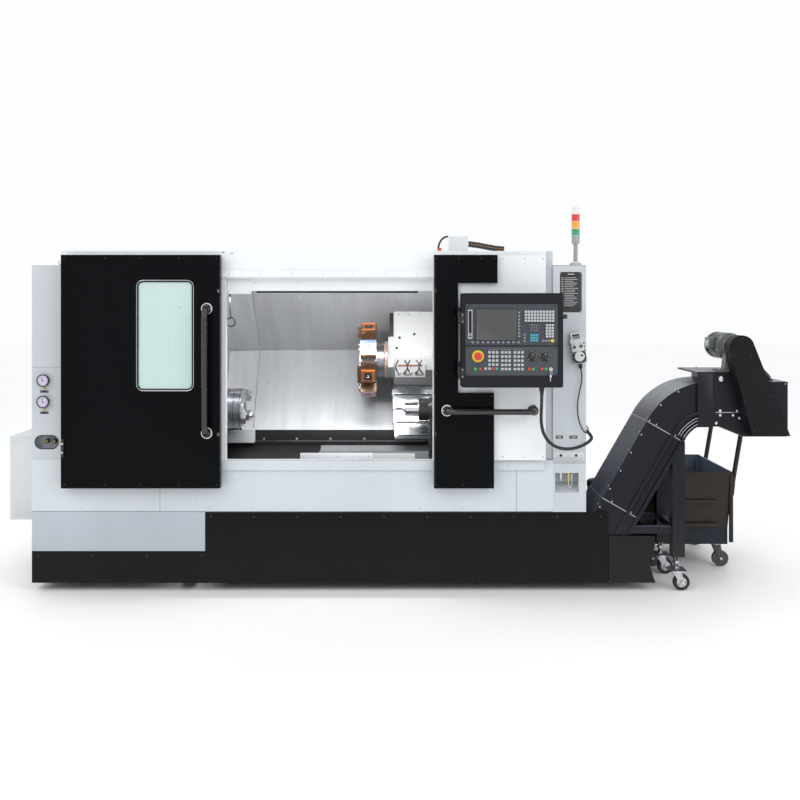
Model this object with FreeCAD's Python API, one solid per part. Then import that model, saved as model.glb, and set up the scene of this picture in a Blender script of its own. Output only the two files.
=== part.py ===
"""CNC turning lathe with a slant bed, a turret, two sliding doors, an operator panel and a chip conveyor.

Millimetres. +X runs to the right along the spindle axis, +Y away from the operator, +Z up.
Everything is drawn about the middle of the machine's front face at floor level, and is moved at the
end so that the origin is the centre of the bottom of the whole machine's box, its cords left out.
"""

import os
from math import acos, atan2, cos, degrees, radians, sin, tan

import FreeCAD
import Part

V = FreeCAD.Vector

# ---------------------------------------------------------------- clearances and sheet metal
RUN = 0.3           # gap between pieces that move past each other
SHEET = 3.0         # folded sheet covers
PLATE = 6.0         # plinth plate
FOLD = 40.0         # return flange of a cover

# ---------------------------------------------------------------- the machine's outline
LEFT = -2024.0      # left end of the covers
GUARD_LEFT = -1864.0    # where the high guard starts
GUARD_RIGHT = 802.0     # where it ends
COLUMN_LEFT = 841.0
COLUMN_RIGHT = 1023.0
CABINET_RIGHT = 1110.0
PLINTH_RIGHT = 1144.0
REAR = 1600.0
PLINTH_Z = 45.0     # underside of the plinth, above the floor
PLINTH_STEP_X = -1072.0     # right of here the black plinth is tall
PLINTH_LOW_Z = 220.0
PLINTH_TOP_Z = 435.0
SILL_Z = 720.0      # bottom of the door opening
LOW_TOP_Z = 1792.0  # top of both end cabinets
TOP_Z = 1870.0      # top of the guard
CABINET_FRONT = 500.0   # front of the electrical cabinet behind the column

# ---------------------------------------------------------------- door opening, rails and doors
OPEN_LEFT, OPEN_RIGHT = -957.0, 180.0
OPEN_TOP = 1715.0
HEADER_LOW = 1650.0     # lower edge of the inner header
HEADER_Y = 40.0
RAIL_T = 20.0       # top rail, proud of the guard
RAIL_LOW, RAIL_HIGH = 1725.0, 1760.0
GUIDE_T = 15.0      # lower rail
GUIDE_LOW, GUIDE_HIGH = 667.0, 717.0
DOOR_BACK = -25.0
DOOR_FRONT = -75.0
DOOR_WALL = 4.0
DOOR_TOP, DOOR_LOW = 1845.0, 578.0
LEFT_DOOR_X0, LEFT_DOOR_X1 = -1839.0, -976.0
RIGHT_DOOR_X0, RIGHT_DOOR_X1 = 184.0, 795.0
RIGHT_PANEL_FRONT = -45.0
RIGHT_PANEL_LOW = 725.0
SKIN_STEM = 131.0   # width of the black stem of the right door
SKIN_TOP_ARM, SKIN_LOW_ARM = 345.0, 326.0
SKIN_TOP_Z, SKIN_LOW_Z = 1692.0, 1096.0
WINDOW_X0, WINDOW_X1 = -1420.0, -1127.0
WINDOW_Z0, WINDOW_Z1 = 1116.0, 1699.0
WINDOW_R = 27.0
GLASS_T = 8.0
WINDOW_LAP = 22.0
HANGER_W = 60.0
HANGER_H = 30.0
HANDLE_R = 16.0
HANDLE_OFF = 66.0   # from a door's face to the handle's axis
HANDLE_BEND = 45.0
FLANGE_R, FLANGE_T = 26.0, 6.0
LEFT_HANDLE_X = -1048.0
LEFT_HANDLE_Z0, LEFT_HANDLE_Z1 = 878.0, 1553.0
RIGHT_HANDLE_Z = 1000.0
RIGHT_HANDLE_X0, RIGHT_HANDLE_X1 = 255.0, 725.0

# ---------------------------------------------------------------- spindle line and the slant of the bed
SLANT = 58.4        # degrees from level
SPINDLE_Y, SPINDLE_Z = 620.0, 930.0
LINER_N = -301.0    # the chamber's lower back wall, from the spindle axis, square to the slant
LINER_U0, LINER_U1 = -2.0, 581.0
BED_N = -361.0      # face of the bed
BED_X0, BED_X1 = -1830.0, 780.0
BED_Z = 60.0
BED_FRONT, BED_REAR = 600.0, 1480.0
BED_WALL = 50.0
BED_BAYS = 4
RAIL_U = (60.0, 380.0)      # carriage rails, up the slant
RAIL_W, RAIL_H = 34.0, 20.0
RIDGE_Y0, RIDGE_Y1, RIDGE_Z, RIDGE_X0 = 640.0, 716.0, 660.0, -500.0
LEFT_WALL_X = -1119.0
CORNER_X = -937.0   # where the back wall meets the slanting corner panels
CORNER_Y = 125.0    # how far those panels come forward
RIGHT_WALL_X = 790.0
ROOF_Y, ROOF_Z = 836.0, 1656.0  # front edge of the chamber's upper back wall
CHUTE_TOP = (872.0, 672.0)
CHUTE_LIP_Y, CHUTE_LIP_Z = 340.0, 366.0
CHUTE_FRONT_Y, CHUTE_FRONT_Z = 60.0, 400.0
CHUTE_LOW = 325.0
WELD_LAP = 1.5      # how far a side wall reaches across the edge of the sheet it meets

HEAD_X0, HEAD_X1 = -1775.0, -1135.0     # headstock
HEAD_U0, HEAD_U1, HEAD_N1 = -106.0, 240.0, 180.0
NOSE_R, NOSE_X = 160.0, -1072.0
SPINDLE_R = 75.0
SPINDLE_BORE_R = 36.0
SPINDLE_END = -1842.0
BAR_HOLE_R = 60.0    # hole in the left end cover, on the spindle's axis
FLANGE_X = -1062.0
SPINDLE_FLANGE_R = 105.0
CHUCK_X0, CHUCK_X1, CHUCK_R = -1050.0, -958.0, 127.0
CHUCK_BORE_R = 38.0
JAW_W, JAW_T, JAW_R0, JAW_R1 = 38.0, 46.0, 52.0, 122.0
JAW_TEE_W, JAW_TEE_H, JAW_SLOT = 22.0, 14.0, 20.0
JAW_TRAVEL = 4.4
PULLEY_R, MOTOR_PULLEY_R, PULLEY_W = 110.0, 70.0, 50.0
MOTOR_Y, MOTOR_Z, MOTOR_R = 330.0, 420.0, 125.0
MOTOR_X0, MOTOR_X1 = -1740.0, -1300.0
MOTOR_SHAFT_R = 24.0
BELT_T = 6.0

SADDLE_X0, SADDLE_X1 = -35.0, 425.0
SADDLE_U1 = 520.0
SADDLE_N = -230.0   # top of the carriage
HOUSING_X0 = -40.0
TURRET_U = 345.0    # turret axis, up the slant from the spindle axis
TURRET_X0, TURRET_X1 = -248.0, -145.0
TURRET_FLAT = 150.0     # from the turret's axis to each of its eight flats
TURRET_STATIONS = 8
HOLDER_W, HOLDER_H = 96.0, 76.0
NECK_R = 115.0
TURRET_SHAFT_R = 60.0
SCREW_U, SCREW_N, SCREW_R = 200.0, -398.0, 16.0
COVER_PLATES = 4
TAIL_X0, TAIL_X1 = 176.0, 430.0
TAIL_R = 75.0
NUT_X, NUT_R = 114.0, 63.0
QUILL_R, QUILL_X0, QUILL_X1 = 42.0, 30.0, 330.0
QUILL_STROKE = 80.0

# ---------------------------------------------------------------- operator panel and pendant
PANEL_X0, PANEL_X1 = 323.0, 850.0
PANEL_Z0, PANEL_Z1 = 1144.0, 1635.0
PANEL_FRONT, FACE_T, PANEL_BACK = -278.0, 30.0, -128.0
PANEL_WALL = 3.0
ARM_X0, ARM_X1 = 805.0, 838.0
ARM_Z0, ARM_Z1 = 1250.0, 1550.0
HINGE_X, HINGE_R, HINGE_PIN = 312.0, 10.0, 4.0
HINGE_Z = (1505.0, 1218.0)      # foot of each hinge
KNUCKLE = 28.0
KEY_Z = 1307.0      # height of the stop button and the two rotary switches
STOP_X, STOP_R, STOP_STEM_R, STOP_H = 406.0, 20.0, 11.0, 34.0
STOP_TRAVEL = 5.0
KNOB_X = (689.0, 756.0)
KNOB_R, KNOB_H, KNOB_STEM_R = 19.0, 20.0, 4.0
PENDANT = V(975.0, -2.0, 1320.0)    # middle of the pendant's back, on the column
PENDANT_W, PENDANT_H, PENDANT_T = 74.0, 136.0, 34.0
PENDANT_TILT = -9.6
DIAL_R, DIAL_H, DIAL_Z = 27.0, 12.0, -28.0
PENDANT_KNOB_R, PENDANT_KNOB_X, PENDANT_KNOB_Z = 8.0, 18.0, 26.0
PENDANT_KNOB_H = 9.0
PIN_R = 3.0
RELIEF_H = 28.0

# ---------------------------------------------------------------- stack light
LIGHT_X, LIGHT_Y = 992.0, 150.0
LIGHT_R, LIGHT_POLE_R, LIGHT_TOP = 23.0, 12.0, 2132.0
LENS_H, LIGHT_LENSES = 41.0, 3

# ---------------------------------------------------------------- coolant tank and chip conveyor
TANK_X0, TANK_X1 = -1000.0, 1402.0
TANK_Y0, TANK_Y1 = 12.0, 560.0
TANK_Z0, TANK_Z1 = 60.0, 303.0
TANK_WALL = 4.0
PUMP_X, PUMP_Y, PUMP_R, PUMP_TOP = 1180.0, 480.0, 55.0, 524.0
CONV_Y0, CONV_Y1 = 20.0, 380.0
CONV_H = 230.0      # height of the conveyor's section
CONV_LOW_Z = 205.0  # middle of its lower run
CONV_START = -980.0
CONV_ANGLE = 60.0
CONV_R1, CONV_R2 = 300.0, 285.0
CONV_BEND2_X, CONV_BEND2_Z = 1719.0, 750.0      # centre of the upper bend
CONV_WALL = 3.0
SIDE_RAIL_T = 16.0
BELT_GAP = 60.0     # from the middle of the section to each run of the belt
BELT_PLATE = 8.0
DRIVE_X = 1962.0
DRIVE_R = 20.0
GUARD_FRONT, GUARD_BACK = -92.0, 2.0
HEAD_TOP, HEAD_STEP, HEAD_LOW, HEAD_END = 1193.0, 1150.0, 850.0, 2134.0
HEAD_Y0, HEAD_Y1 = 5.0, 395.0
GEAR_X, GEAR_Z = 1849.0, 1340.0
GEAR_MOTOR_R = 68.0
LEG_X, LEG_W = 1530.0, 68.0
LEG_Y = (24.0, 356.0)
LEG_LOW = 187.0
FOOT_Z = 119.0
CASTER_X, TRAIL, WHEEL_R, WHEEL_W = 1524.0, 28.0, 45.0, 30.0
AXLE_R = 5.0
BRACE_Z0, BRACE_Z1 = 315.0, 352.0

# ---------------------------------------------------------------- chip bin
BIN_X0, BIN_X1 = 1420.0, 1979.0
BIN_Y0, BIN_Y1 = 440.0, 1110.0
BIN_TOP, BIN_LOW, BIN_FRAME = 575.0, 240.0, 143.0
BIN_TAPER = 24.0
BIN_WALL = 3.0
BIN_HANDLE_FOOT, BIN_HANDLE_TOP = (1988.0, 445.0), (2070.0, 930.0)      # (x, z) of the tube's axis
BIN_HANDLE_R = 14.0
BIN_HANDLE_IN = 60.0    # from the bin's sides to the tube

# ---------------------------------------------------------------- cords: hand-laid routes
def pendant_tail(below):
    """A point on the axis of the pendant's strain relief, below its end."""
    reach, turn = PENDANT_H / 2 + RELIEF_H + below, radians(PENDANT_TILT)
    return (PENDANT.x - reach * sin(turn), PENDANT.y - PENDANT_T / 2, PENDANT.z - reach * cos(turn))


CONDUIT_R = 9.0
CONDUIT_ROUTE = [
    (752.0, -190.0, 1126.0), (752.0, -190.0, 1066.0), (750.0, -183.0, 1004.0), (752.0, -165.0, 944.0),
    (768.0, -142.0, 882.0), (806.0, -118.0, 828.0), (862.0, -96.0, 798.0), (922.0, -78.0, 792.0),
    (978.0, -60.0, 802.0), (1026.0, -34.0, 820.0), (1056.0, 8.0, 836.0), (1063.0, 64.0, 843.0),
    (1067.0, 128.0, 847.0), (1069.0, 204.0, 849.0), (1069.7, 284.0, 849.7), (1069.9, 362.0, 849.9),
    (1070.0, 438.0, 850.0), (1070.0, CABINET_FRONT, 850.0),
]
LEAD_R = 3.5
LEAD_ROUTE = [
    pendant_tail(0), pendant_tail(44), (991.0, -21.0, 1130.0), (977.0, -22.0, 1075.0),
    (970.0, -23.0, 1019.0),
    (973.0, -24.0, 966.0), (985.0, -26.0, 918.0), (1003.0, -26.0, 883.0), (1024.0, -14.0, 868.0),
    (1038.0, 12.0, 872.0), (1046.0, 50.0, 880.0), (1050.0, 98.0, 886.0), (1052.0, 154.0, 889.5),
    (1053.0, 212.0, 891.0), (1053.6, 270.0, 891.6), (1053.9, 328.0, 891.9), (1053.97, 386.0, 891.97),
    (1054.0, 444.0, 892.0), (1054.0, CABINET_FRONT, 892.0),
]


# ================================================================ shapes
def box(x0, x1, y0, y1, z0, z1):
    return Part.makeBox(x1 - x0, y1 - y0, z1 - z0, V(x0, y0, z0))


def rod_x(y, z, r, x0, x1):
    return Part.makeCylinder(r, x1 - x0, V(x0, y, z), V(1, 0, 0))


def rod_y(x, z, r, y0, y1):
    return Part.makeCylinder(r, y1 - y0, V(x, y0, z), V(0, 1, 0))


def rod_z(x, y, r, z0, z1):
    return Part.makeCylinder(r, z1 - z0, V(x, y, z0), V(0, 0, 1))


def fuse(first, *rest):
    """One solid out of several, with the seams between them taken away."""
    return first.multiFuse(list(rest)).removeSplitter() if rest else first


def polygon(points):
    return Part.Face(Part.makePolygon([V(*p) for p in points + points[:1]]))


def prism_x(points, x0, x1):
    """A (y, z) outline carried along X."""
    return polygon([(x0, y, z) for y, z in points]).extrude(V(x1 - x0, 0, 0))


def prism_y(points, y0, y1):
    """An (x, z) outline carried along Y."""
    return polygon([(x, y0, z) for x, z in points]).extrude(V(0, y1 - y0, 0))


def rounded_y(x0, x1, z0, z1, r, y0, y1):
    """A plate square to Y with rounded corners."""
    plate = box(x0, x1, y0, y1, z0, z1)
    return plate.makeFillet(r, [e for e in plate.Edges if along(e, V(0, 1, 0))])


def along(edge, direction):
    if len(edge.Vertexes) != 2:
        return False
    run = edge.Vertexes[1].Point - edge.Vertexes[0].Point
    return run.Length > 0 and abs(abs(run.normalize().dot(direction)) - 1) < 1e-6


def on_slant(shape):
    """Turns a shape drawn as (x, u, n), about the spindle axis, on to the slant of the bed."""
    turned = shape.copy()
    turned.rotate(V(0, 0, 0), V(1, 0, 0), SLANT)
    turned.translate(V(0, SPINDLE_Y, SPINDLE_Z))
    return turned


def slant_point(u, n):
    c, s = cos(radians(SLANT)), sin(radians(SLANT))
    return SPINDLE_Y + u * c - n * s, SPINDLE_Z + u * s + n * c


# ================================================================ plinth, bed and feet
def levelling_feet():
    """Six pads with their studs, under the bed."""
    feet = []
    for x in (BED_X0 + 90, (BED_X0 + BED_X1) / 2, BED_X1 - 90):
        for y in (BED_FRONT + 90, BED_REAR - 90):
            pad = Part.makeCone(62, 50, 26, V(x, y, 0))
            feet.append(fuse(pad, rod_z(x, y, 15, 26, BED_Z)))
    return Part.makeCompound(feet)


def plinth():
    """Plate skirt round the foot of the machine, low at the left and tall at the right."""
    outer = fuse(
        box(LEFT, PLINTH_STEP_X, 0, REAR, PLINTH_Z, PLINTH_LOW_Z),
        box(PLINTH_STEP_X, PLINTH_RIGHT, 0, REAR, PLINTH_Z, PLINTH_TOP_Z),
    )
    inner = box(LEFT + PLATE, PLINTH_RIGHT - PLATE, PLATE, REAR - PLATE, 0, TOP_Z)
    skirt = outer.cut(inner)
    way_out = box(PLINTH_RIGHT - 2 * PLATE, PLINTH_RIGHT + 1, PLATE, TANK_Y1 + 6, 0, PLINTH_TOP_Z + 1)
    skirt = skirt.cut(way_out)
    ties = [
        box(x, x + 60, PLATE, BED_FRONT + 50, BED_Z - 10, BED_Z)
        for x in (BED_X0 + 10, PLINTH_STEP_X - 120, -420.0, 200.0, 640.0)
    ]
    rear_ties = [
        box(x, x + 60, BED_REAR - 50, REAR - PLATE, BED_Z - 10, BED_Z)
        for x in (BED_X0 + 160, -420.0, 560.0)
    ]
    return fuse(skirt, *ties, *rear_ties)


def bed():
    """Cored casting with the slant face, two carriage rails and the tailstock's ridge."""
    toe = slant_point(-108.0, BED_N)
    top = slant_point(SADDLE_U1 + 10, BED_N)
    outline = [
        (BED_FRONT, BED_Z), (BED_REAR, BED_Z), (BED_REAR, top[1]), top, toe, (BED_FRONT, toe[1] - 170),
    ]
    body = prism_x(outline, BED_X0, BED_X1)
    w = BED_WALL
    core = [
        (BED_FRONT + w, BED_Z + w), (BED_REAR - w, BED_Z + w), (BED_REAR - w, top[1] - 2 * w),
        (top[0] + w / 2, top[1] - 2 * w), (toe[0] + w, toe[1] - 1.2 * w), (BED_FRONT + w, toe[1] - 170 - w),
    ]
    pitch = (BED_X1 - BED_X0) / BED_BAYS
    cuts = []
    for i in range(BED_BAYS):
        x0 = BED_X0 + i * pitch + w / 2
        x1 = BED_X0 + (i + 1) * pitch - w / 2
        cuts.append(prism_x(core, x0, x1))
        cuts.append(box(x0 + 120, x1 - 120, BED_REAR - w - 1, BED_REAR + 1, BED_Z + 3 * w, top[1] - 4 * w))
    groove = on_slant(box(BED_X0 + 700, BED_X1 + 1, SCREW_U - 34, SCREW_U + 34, BED_N - 74, BED_N + 1))
    body = body.cut(Part.makeCompound(cuts)).cut(groove)
    rails = [
        on_slant(box(LEFT_WALL_X + 60, BED_X1, u - RAIL_W / 2, u + RAIL_W / 2, BED_N - 1, BED_N + RAIL_H))
        for u in RAIL_U
    ]
    blocks = [
        on_slant(
            box(x, x + 40, SCREW_U - 34, SCREW_U + 34, BED_N - 75, BED_N - 6).cut(
                rod_x(SCREW_U, SCREW_N, SCREW_R + RUN, x - 1, x + 41)
            )
        )
        for x in (LEFT_WALL_X + 70, BED_X1 - 60)
    ]
    ridge = box(RIDGE_X0, BED_X1, RIDGE_Y0, RIDGE_Y1, toe[1] - 150, RIDGE_Z)
    return fuse(body, *rails, *blocks, ridge)


# ================================================================ covers
def lower_front_cover():
    """Folded sheet round the front and left side, below the doors, with the lower door rail."""
    front = box(LEFT, COLUMN_LEFT, 0, SHEET, PLINTH_TOP_Z, SILL_Z)
    side = box(LEFT, LEFT + SHEET, 0, REAR, PLINTH_TOP_Z, SILL_Z)
    rear = box(LEFT, GUARD_LEFT, REAR - SHEET, REAR, PLINTH_TOP_Z, SILL_Z)
    ledge = box(OPEN_LEFT, OPEN_RIGHT, 0, FOLD, SILL_Z - SHEET, SILL_Z)
    rail = box(LEFT_DOOR_X0, GUARD_RIGHT - 10, -GUIDE_T, 0, GUIDE_LOW, GUIDE_HIGH)
    return fuse(front, side, rear, ledge, rail)


def lower_access_panel():
    """Panel over the drive motor, at the left, that wraps round the left end."""
    front = box(LEFT, PLINTH_STEP_X, 0, SHEET, PLINTH_LOW_Z, PLINTH_TOP_Z)
    side = box(LEFT, LEFT + SHEET, 0, REAR, PLINTH_LOW_Z, PLINTH_TOP_Z)
    rear = box(LEFT, PLINTH_STEP_X, REAR - SHEET, REAR, PLINTH_LOW_Z, PLINTH_TOP_Z)
    return fuse(front, side, rear)


def left_end_cover():
    """End cabinet with the gauges, the long window for the pressure valves and the hole for bar stock."""
    shell = box(LEFT, GUARD_LEFT, 0, REAR, SILL_Z, LOW_TOP_Z).cut(
        box(LEFT + SHEET, GUARD_LEFT + 1, SHEET, REAR - SHEET, SILL_Z - 1, LOW_TOP_Z - SHEET)
    )
    slot = rounded_y(LEFT + 18, LEFT + 145, 783, 854, 35, -1, SHEET + 1)
    block = box(LEFT + SHEET, LEFT + 150, 60, 150, 770, 868)
    valves = [rod_y(LEFT + x, 822, 13, 30, 60) for x in (78, 118)]
    gauges = [rod_y(LEFT + 69, z, 33, -26, 0) for z in (1159, 1042)]
    bar_hole = rod_x(SPINDLE_Y, SPINDLE_Z, BAR_HOLE_R, LEFT - 1, LEFT + SHEET + 1)
    return fuse(shell.cut(slot).cut(bar_hole), block, *valves, *gauges)


def left_side_box():
    """Closed terminal box on the left end."""
    return box(LEFT - 250, LEFT, 330, 1000, 319, 804)


def front_frame():
    """The guard's front: posts, header, the top door rail and the inner header."""
    sheet = box(GUARD_LEFT, GUARD_RIGHT, 0, SHEET, SILL_Z, TOP_Z).cut(
        box(OPEN_LEFT, OPEN_RIGHT, -1, SHEET + 1, SILL_Z - 1, OPEN_TOP)
    )
    rail = box(GUARD_LEFT + 15, GUARD_RIGHT - 5, -RAIL_T, 0, RAIL_LOW, RAIL_HIGH)
    jambs = [
        box(OPEN_LEFT - SHEET, OPEN_LEFT, 0, FOLD, SILL_Z, OPEN_TOP),
        box(OPEN_RIGHT, OPEN_RIGHT + SHEET, 0, FOLD, SILL_Z, OPEN_TOP),
    ]
    shelf = box(OPEN_LEFT - SHEET, OPEN_RIGHT + SHEET, 0, HEADER_Y, OPEN_TOP, OPEN_TOP + SHEET)
    inner = box(
        OPEN_LEFT - SHEET, OPEN_RIGHT + SHEET, HEADER_Y, HEADER_Y + SHEET, HEADER_LOW, OPEN_TOP + SHEET,
    )
    return fuse(sheet, rail, *jambs, shelf, inner)


def rear_roof_cover():
    """Roof and rear wall, one folded sheet each side of the rear top edge."""
    roof = box(GUARD_LEFT, GUARD_RIGHT, SHEET, REAR, TOP_Z - SHEET, TOP_Z)
    rear = box(GUARD_LEFT, GUARD_RIGHT, REAR - SHEET, REAR, PLINTH_TOP_Z, TOP_Z)
    cheeks = [box(x, x + SHEET, SHEET, REAR, LOW_TOP_Z, TOP_Z) for x in (GUARD_LEFT, GUARD_RIGHT - SHEET)]
    return fuse(roof, rear, *cheeks)


def right_column():
    """Right end cabinet: the narrow front column with its fitting pocket, and the electrical cabinet."""
    column = box(COLUMN_LEFT, COLUMN_RIGHT, 0, CABINET_FRONT + 1, PLINTH_TOP_Z, LOW_TOP_Z)
    cabinet = box(GUARD_RIGHT, CABINET_RIGHT, CABINET_FRONT, REAR, PLINTH_TOP_Z, LOW_TOP_Z)
    strip = box(GUARD_RIGHT, COLUMN_LEFT, 12, 12 + SHEET, SILL_Z, TOP_Z)
    outer = fuse(column, cabinet)
    inner = fuse(
        box(COLUMN_LEFT + SHEET, COLUMN_RIGHT - SHEET, SHEET, CABINET_FRONT + 2 * SHEET,
            PLINTH_TOP_Z - 1, LOW_TOP_Z - SHEET),
        box(GUARD_RIGHT + SHEET, CABINET_RIGHT - SHEET, CABINET_FRONT + SHEET, REAR - SHEET,
            PLINTH_TOP_Z - 1, LOW_TOP_Z - SHEET),
    )
    pocket_x0, pocket_x1, pocket_z0, pocket_z1, pocket_y = 852.0, 984.0, 540.0, 650.0, 90.0
    room = prism_x(
        [(-1, pocket_z0), (pocket_y, pocket_z0 + 45), (pocket_y, pocket_z1), (-1, pocket_z1)],
        pocket_x0, pocket_x1,
    )
    lining = box(
        pocket_x0 - SHEET, pocket_x1 + SHEET, 0, pocket_y + SHEET, pocket_z0 - SHEET, pocket_z1 + SHEET,
    )
    glands = [
        rod_y(CONDUIT_ROUTE[-1][0], CONDUIT_ROUTE[-1][2], 15, CABINET_FRONT - 0.0, CABINET_FRONT + 20),
        rod_y(LEAD_ROUTE[-1][0], LEAD_ROUTE[-1][2], 9, CABINET_FRONT - 0.0, CABINET_FRONT + 20),
    ]
    return fuse(outer.cut(inner), strip, lining, *glands).cut(room)


def chamber_liner():
    """The work space's lining, in separate sheets that meet edge to edge: two back walls with a
    crease between them, two slanting corner panels, side walls, ceiling, chute and front apron."""
    y0, z0 = slant_point(LINER_U0, LINER_N)
    y1, z1 = slant_point(LINER_U1, LINER_N)
    lower = [(y0, z0), (y1, z1), (y1 + SHEET * 1.3, z1), (y0 + SHEET * 1.2, z0 - 1)]
    upper = [(y1, z1), (ROOF_Y, ROOF_Z), (ROOF_Y, ROOF_Z + SHEET * 1.5), (y1 + SHEET * 1.3, z1)]
    run = LEFT_WALL_X + SHEET - CORNER_X
    forward = CORNER_Y * run / (CORNER_X - LEFT_WALL_X)
    sheets = []
    for outline in (lower, upper):
        sheets.append(prism_x(outline, CORNER_X, RIGHT_WALL_X - SHEET))
        sheets.append(polygon([(CORNER_X, y, z) for y, z in outline]).extrude(V(run, forward, 0)))
    ahead = forward + WELD_LAP
    rise = (CHUTE_TOP[1] - CHUTE_LIP_Z) / (CHUTE_TOP[0] - CHUTE_LIP_Y)
    mouth = [
        (SHEET, SILL_Z), (CHUTE_FRONT_Y, CHUTE_FRONT_Z), (CHUTE_FRONT_Y, CHUTE_LOW),
        (CHUTE_LIP_Y, CHUTE_LOW), (CHUTE_LIP_Y, CHUTE_LIP_Z),
    ]
    left = prism_x(
        mouth + [
            (y0 + ahead, CHUTE_LIP_Z + (y0 + ahead - CHUTE_LIP_Y) * rise), (y0 + ahead, z0),
            (y1 + ahead, z1), (ROOF_Y + ahead, ROOF_Z), (SHEET, ROOF_Z),
        ],
        LEFT_WALL_X, LEFT_WALL_X + SHEET,
    )
    sheets.append(left.cut(rod_x(SPINDLE_Y, SPINDLE_Z, NOSE_R + 5, LEFT_WALL_X - 1, LEFT_WALL_X + SHEET + 1)))
    right = mouth + [
        CHUTE_TOP, (y0 + WELD_LAP, z0), (y1 + WELD_LAP, z1), (ROOF_Y, ROOF_Z), (SHEET, ROOF_Z),
    ]
    sheets.append(prism_x(right, RIGHT_WALL_X - SHEET, RIGHT_WALL_X))
    ceiling = [
        (LEFT_WALL_X, HEADER_Y + SHEET), (RIGHT_WALL_X, HEADER_Y + SHEET), (RIGHT_WALL_X, ROOF_Y),
        (CORNER_X, ROOF_Y), (LEFT_WALL_X + SHEET, ROOF_Y + forward), (LEFT_WALL_X, ROOF_Y + forward),
    ]
    sheets.append(polygon([(x, y, ROOF_Z) for x, y in ceiling]).extrude(V(0, 0, SHEET)))
    slope = prism_x(
        [
            (CHUTE_LIP_Y, CHUTE_LOW), (CHUTE_LIP_Y, CHUTE_LIP_Z), CHUTE_TOP,
            (CHUTE_TOP[0], CHUTE_TOP[1] - 1.2 * SHEET), (CHUTE_LIP_Y + SHEET, CHUTE_LIP_Z - 2),
            (CHUTE_LIP_Y + SHEET, CHUTE_LOW),
        ],
        LEFT_WALL_X, RIGHT_WALL_X,
    )
    sheets.append(slope.cut(box(RIDGE_X0 - 2, RIGHT_WALL_X + 1, RIDGE_Y0 - 2, RIDGE_Y1 + 2, 0, SILL_Z)))
    sheets.append(prism_x(
        [
            (SHEET, SILL_Z - SHEET), (CHUTE_FRONT_Y, CHUTE_FRONT_Z), (CHUTE_FRONT_Y, CHUTE_LOW),
            (CHUTE_FRONT_Y - SHEET, CHUTE_LOW), (CHUTE_FRONT_Y - SHEET, CHUTE_FRONT_Z),
            (SHEET, SILL_Z - 6 * SHEET),
        ],
        LEFT_WALL_X, RIGHT_WALL_X,
    ))
    return Part.makeCompound(sheets)


# ================================================================ spindle, chuck and main drive
def headstock():
    """Casting on the slant face, with the bearing bore and the nose that reaches the work space."""
    block = on_slant(box(HEAD_X0, HEAD_X1, HEAD_U0, HEAD_U1, BED_N, HEAD_N1))
    nose = rod_x(SPINDLE_Y, SPINDLE_Z, NOSE_R, HEAD_X1 - 1, NOSE_X)
    bore = rod_x(SPINDLE_Y, SPINDLE_Z, SPINDLE_R + RUN, HEAD_X0 - 1, NOSE_X + 1)
    return fuse(block, nose).cut(bore)


def spindle():
    """Hollow spindle with its nose flange and the pulley on its rear end."""
    body = fuse(
        rod_x(SPINDLE_Y, SPINDLE_Z, SPINDLE_R, SPINDLE_END, FLANGE_X),
        rod_x(SPINDLE_Y, SPINDLE_Z, SPINDLE_FLANGE_R, FLANGE_X, CHUCK_X0),
        rod_x(SPINDLE_Y, SPINDLE_Z, PULLEY_R, SPINDLE_END, SPINDLE_END + PULLEY_W),
    )
    return body.cut(rod_x(SPINDLE_Y, SPINDLE_Z, SPINDLE_BORE_R, SPINDLE_END - 1, CHUCK_X0 + 1))


def around_spindle(shape, turn):
    turned = shape.copy()
    turned.rotate(V(0, SPINDLE_Y, SPINDLE_Z), V(1, 0, 0), turn)
    return turned


def jaw_way(extra):
    """The stem and tee of a jaw's slide, as wide again by extra on every side."""
    stem = box(CHUCK_X1 - JAW_SLOT - extra, CHUCK_X1 + 1, SPINDLE_Y - JAW_TEE_W / 2 - extra,
               SPINDLE_Y + JAW_TEE_W / 2 + extra, SPINDLE_Z, SPINDLE_Z + CHUCK_R + 5)
    tee = box(CHUCK_X1 - JAW_SLOT - JAW_TEE_H - extra, CHUCK_X1 - JAW_SLOT + extra,
              SPINDLE_Y - JAW_TEE_W / 2 - 7 - extra, SPINDLE_Y + JAW_TEE_W / 2 + 7 + extra,
              SPINDLE_Z, SPINDLE_Z + CHUCK_R + 5)
    return fuse(stem, tee)


def chuck_body():
    body = rod_x(SPINDLE_Y, SPINDLE_Z, CHUCK_R, CHUCK_X0, CHUCK_X1)
    body = body.cut(rod_x(SPINDLE_Y, SPINDLE_Z, CHUCK_BORE_R, CHUCK_X0 - 1, CHUCK_X1 + 1))
    slot = jaw_way(RUN).cut(rod_x(SPINDLE_Y, SPINDLE_Z, JAW_R0 - 8, CHUCK_X0, CHUCK_X1 + 2))
    return body.cut(Part.makeCompound([around_spindle(slot, 120 * i) for i in range(3)]))


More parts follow.
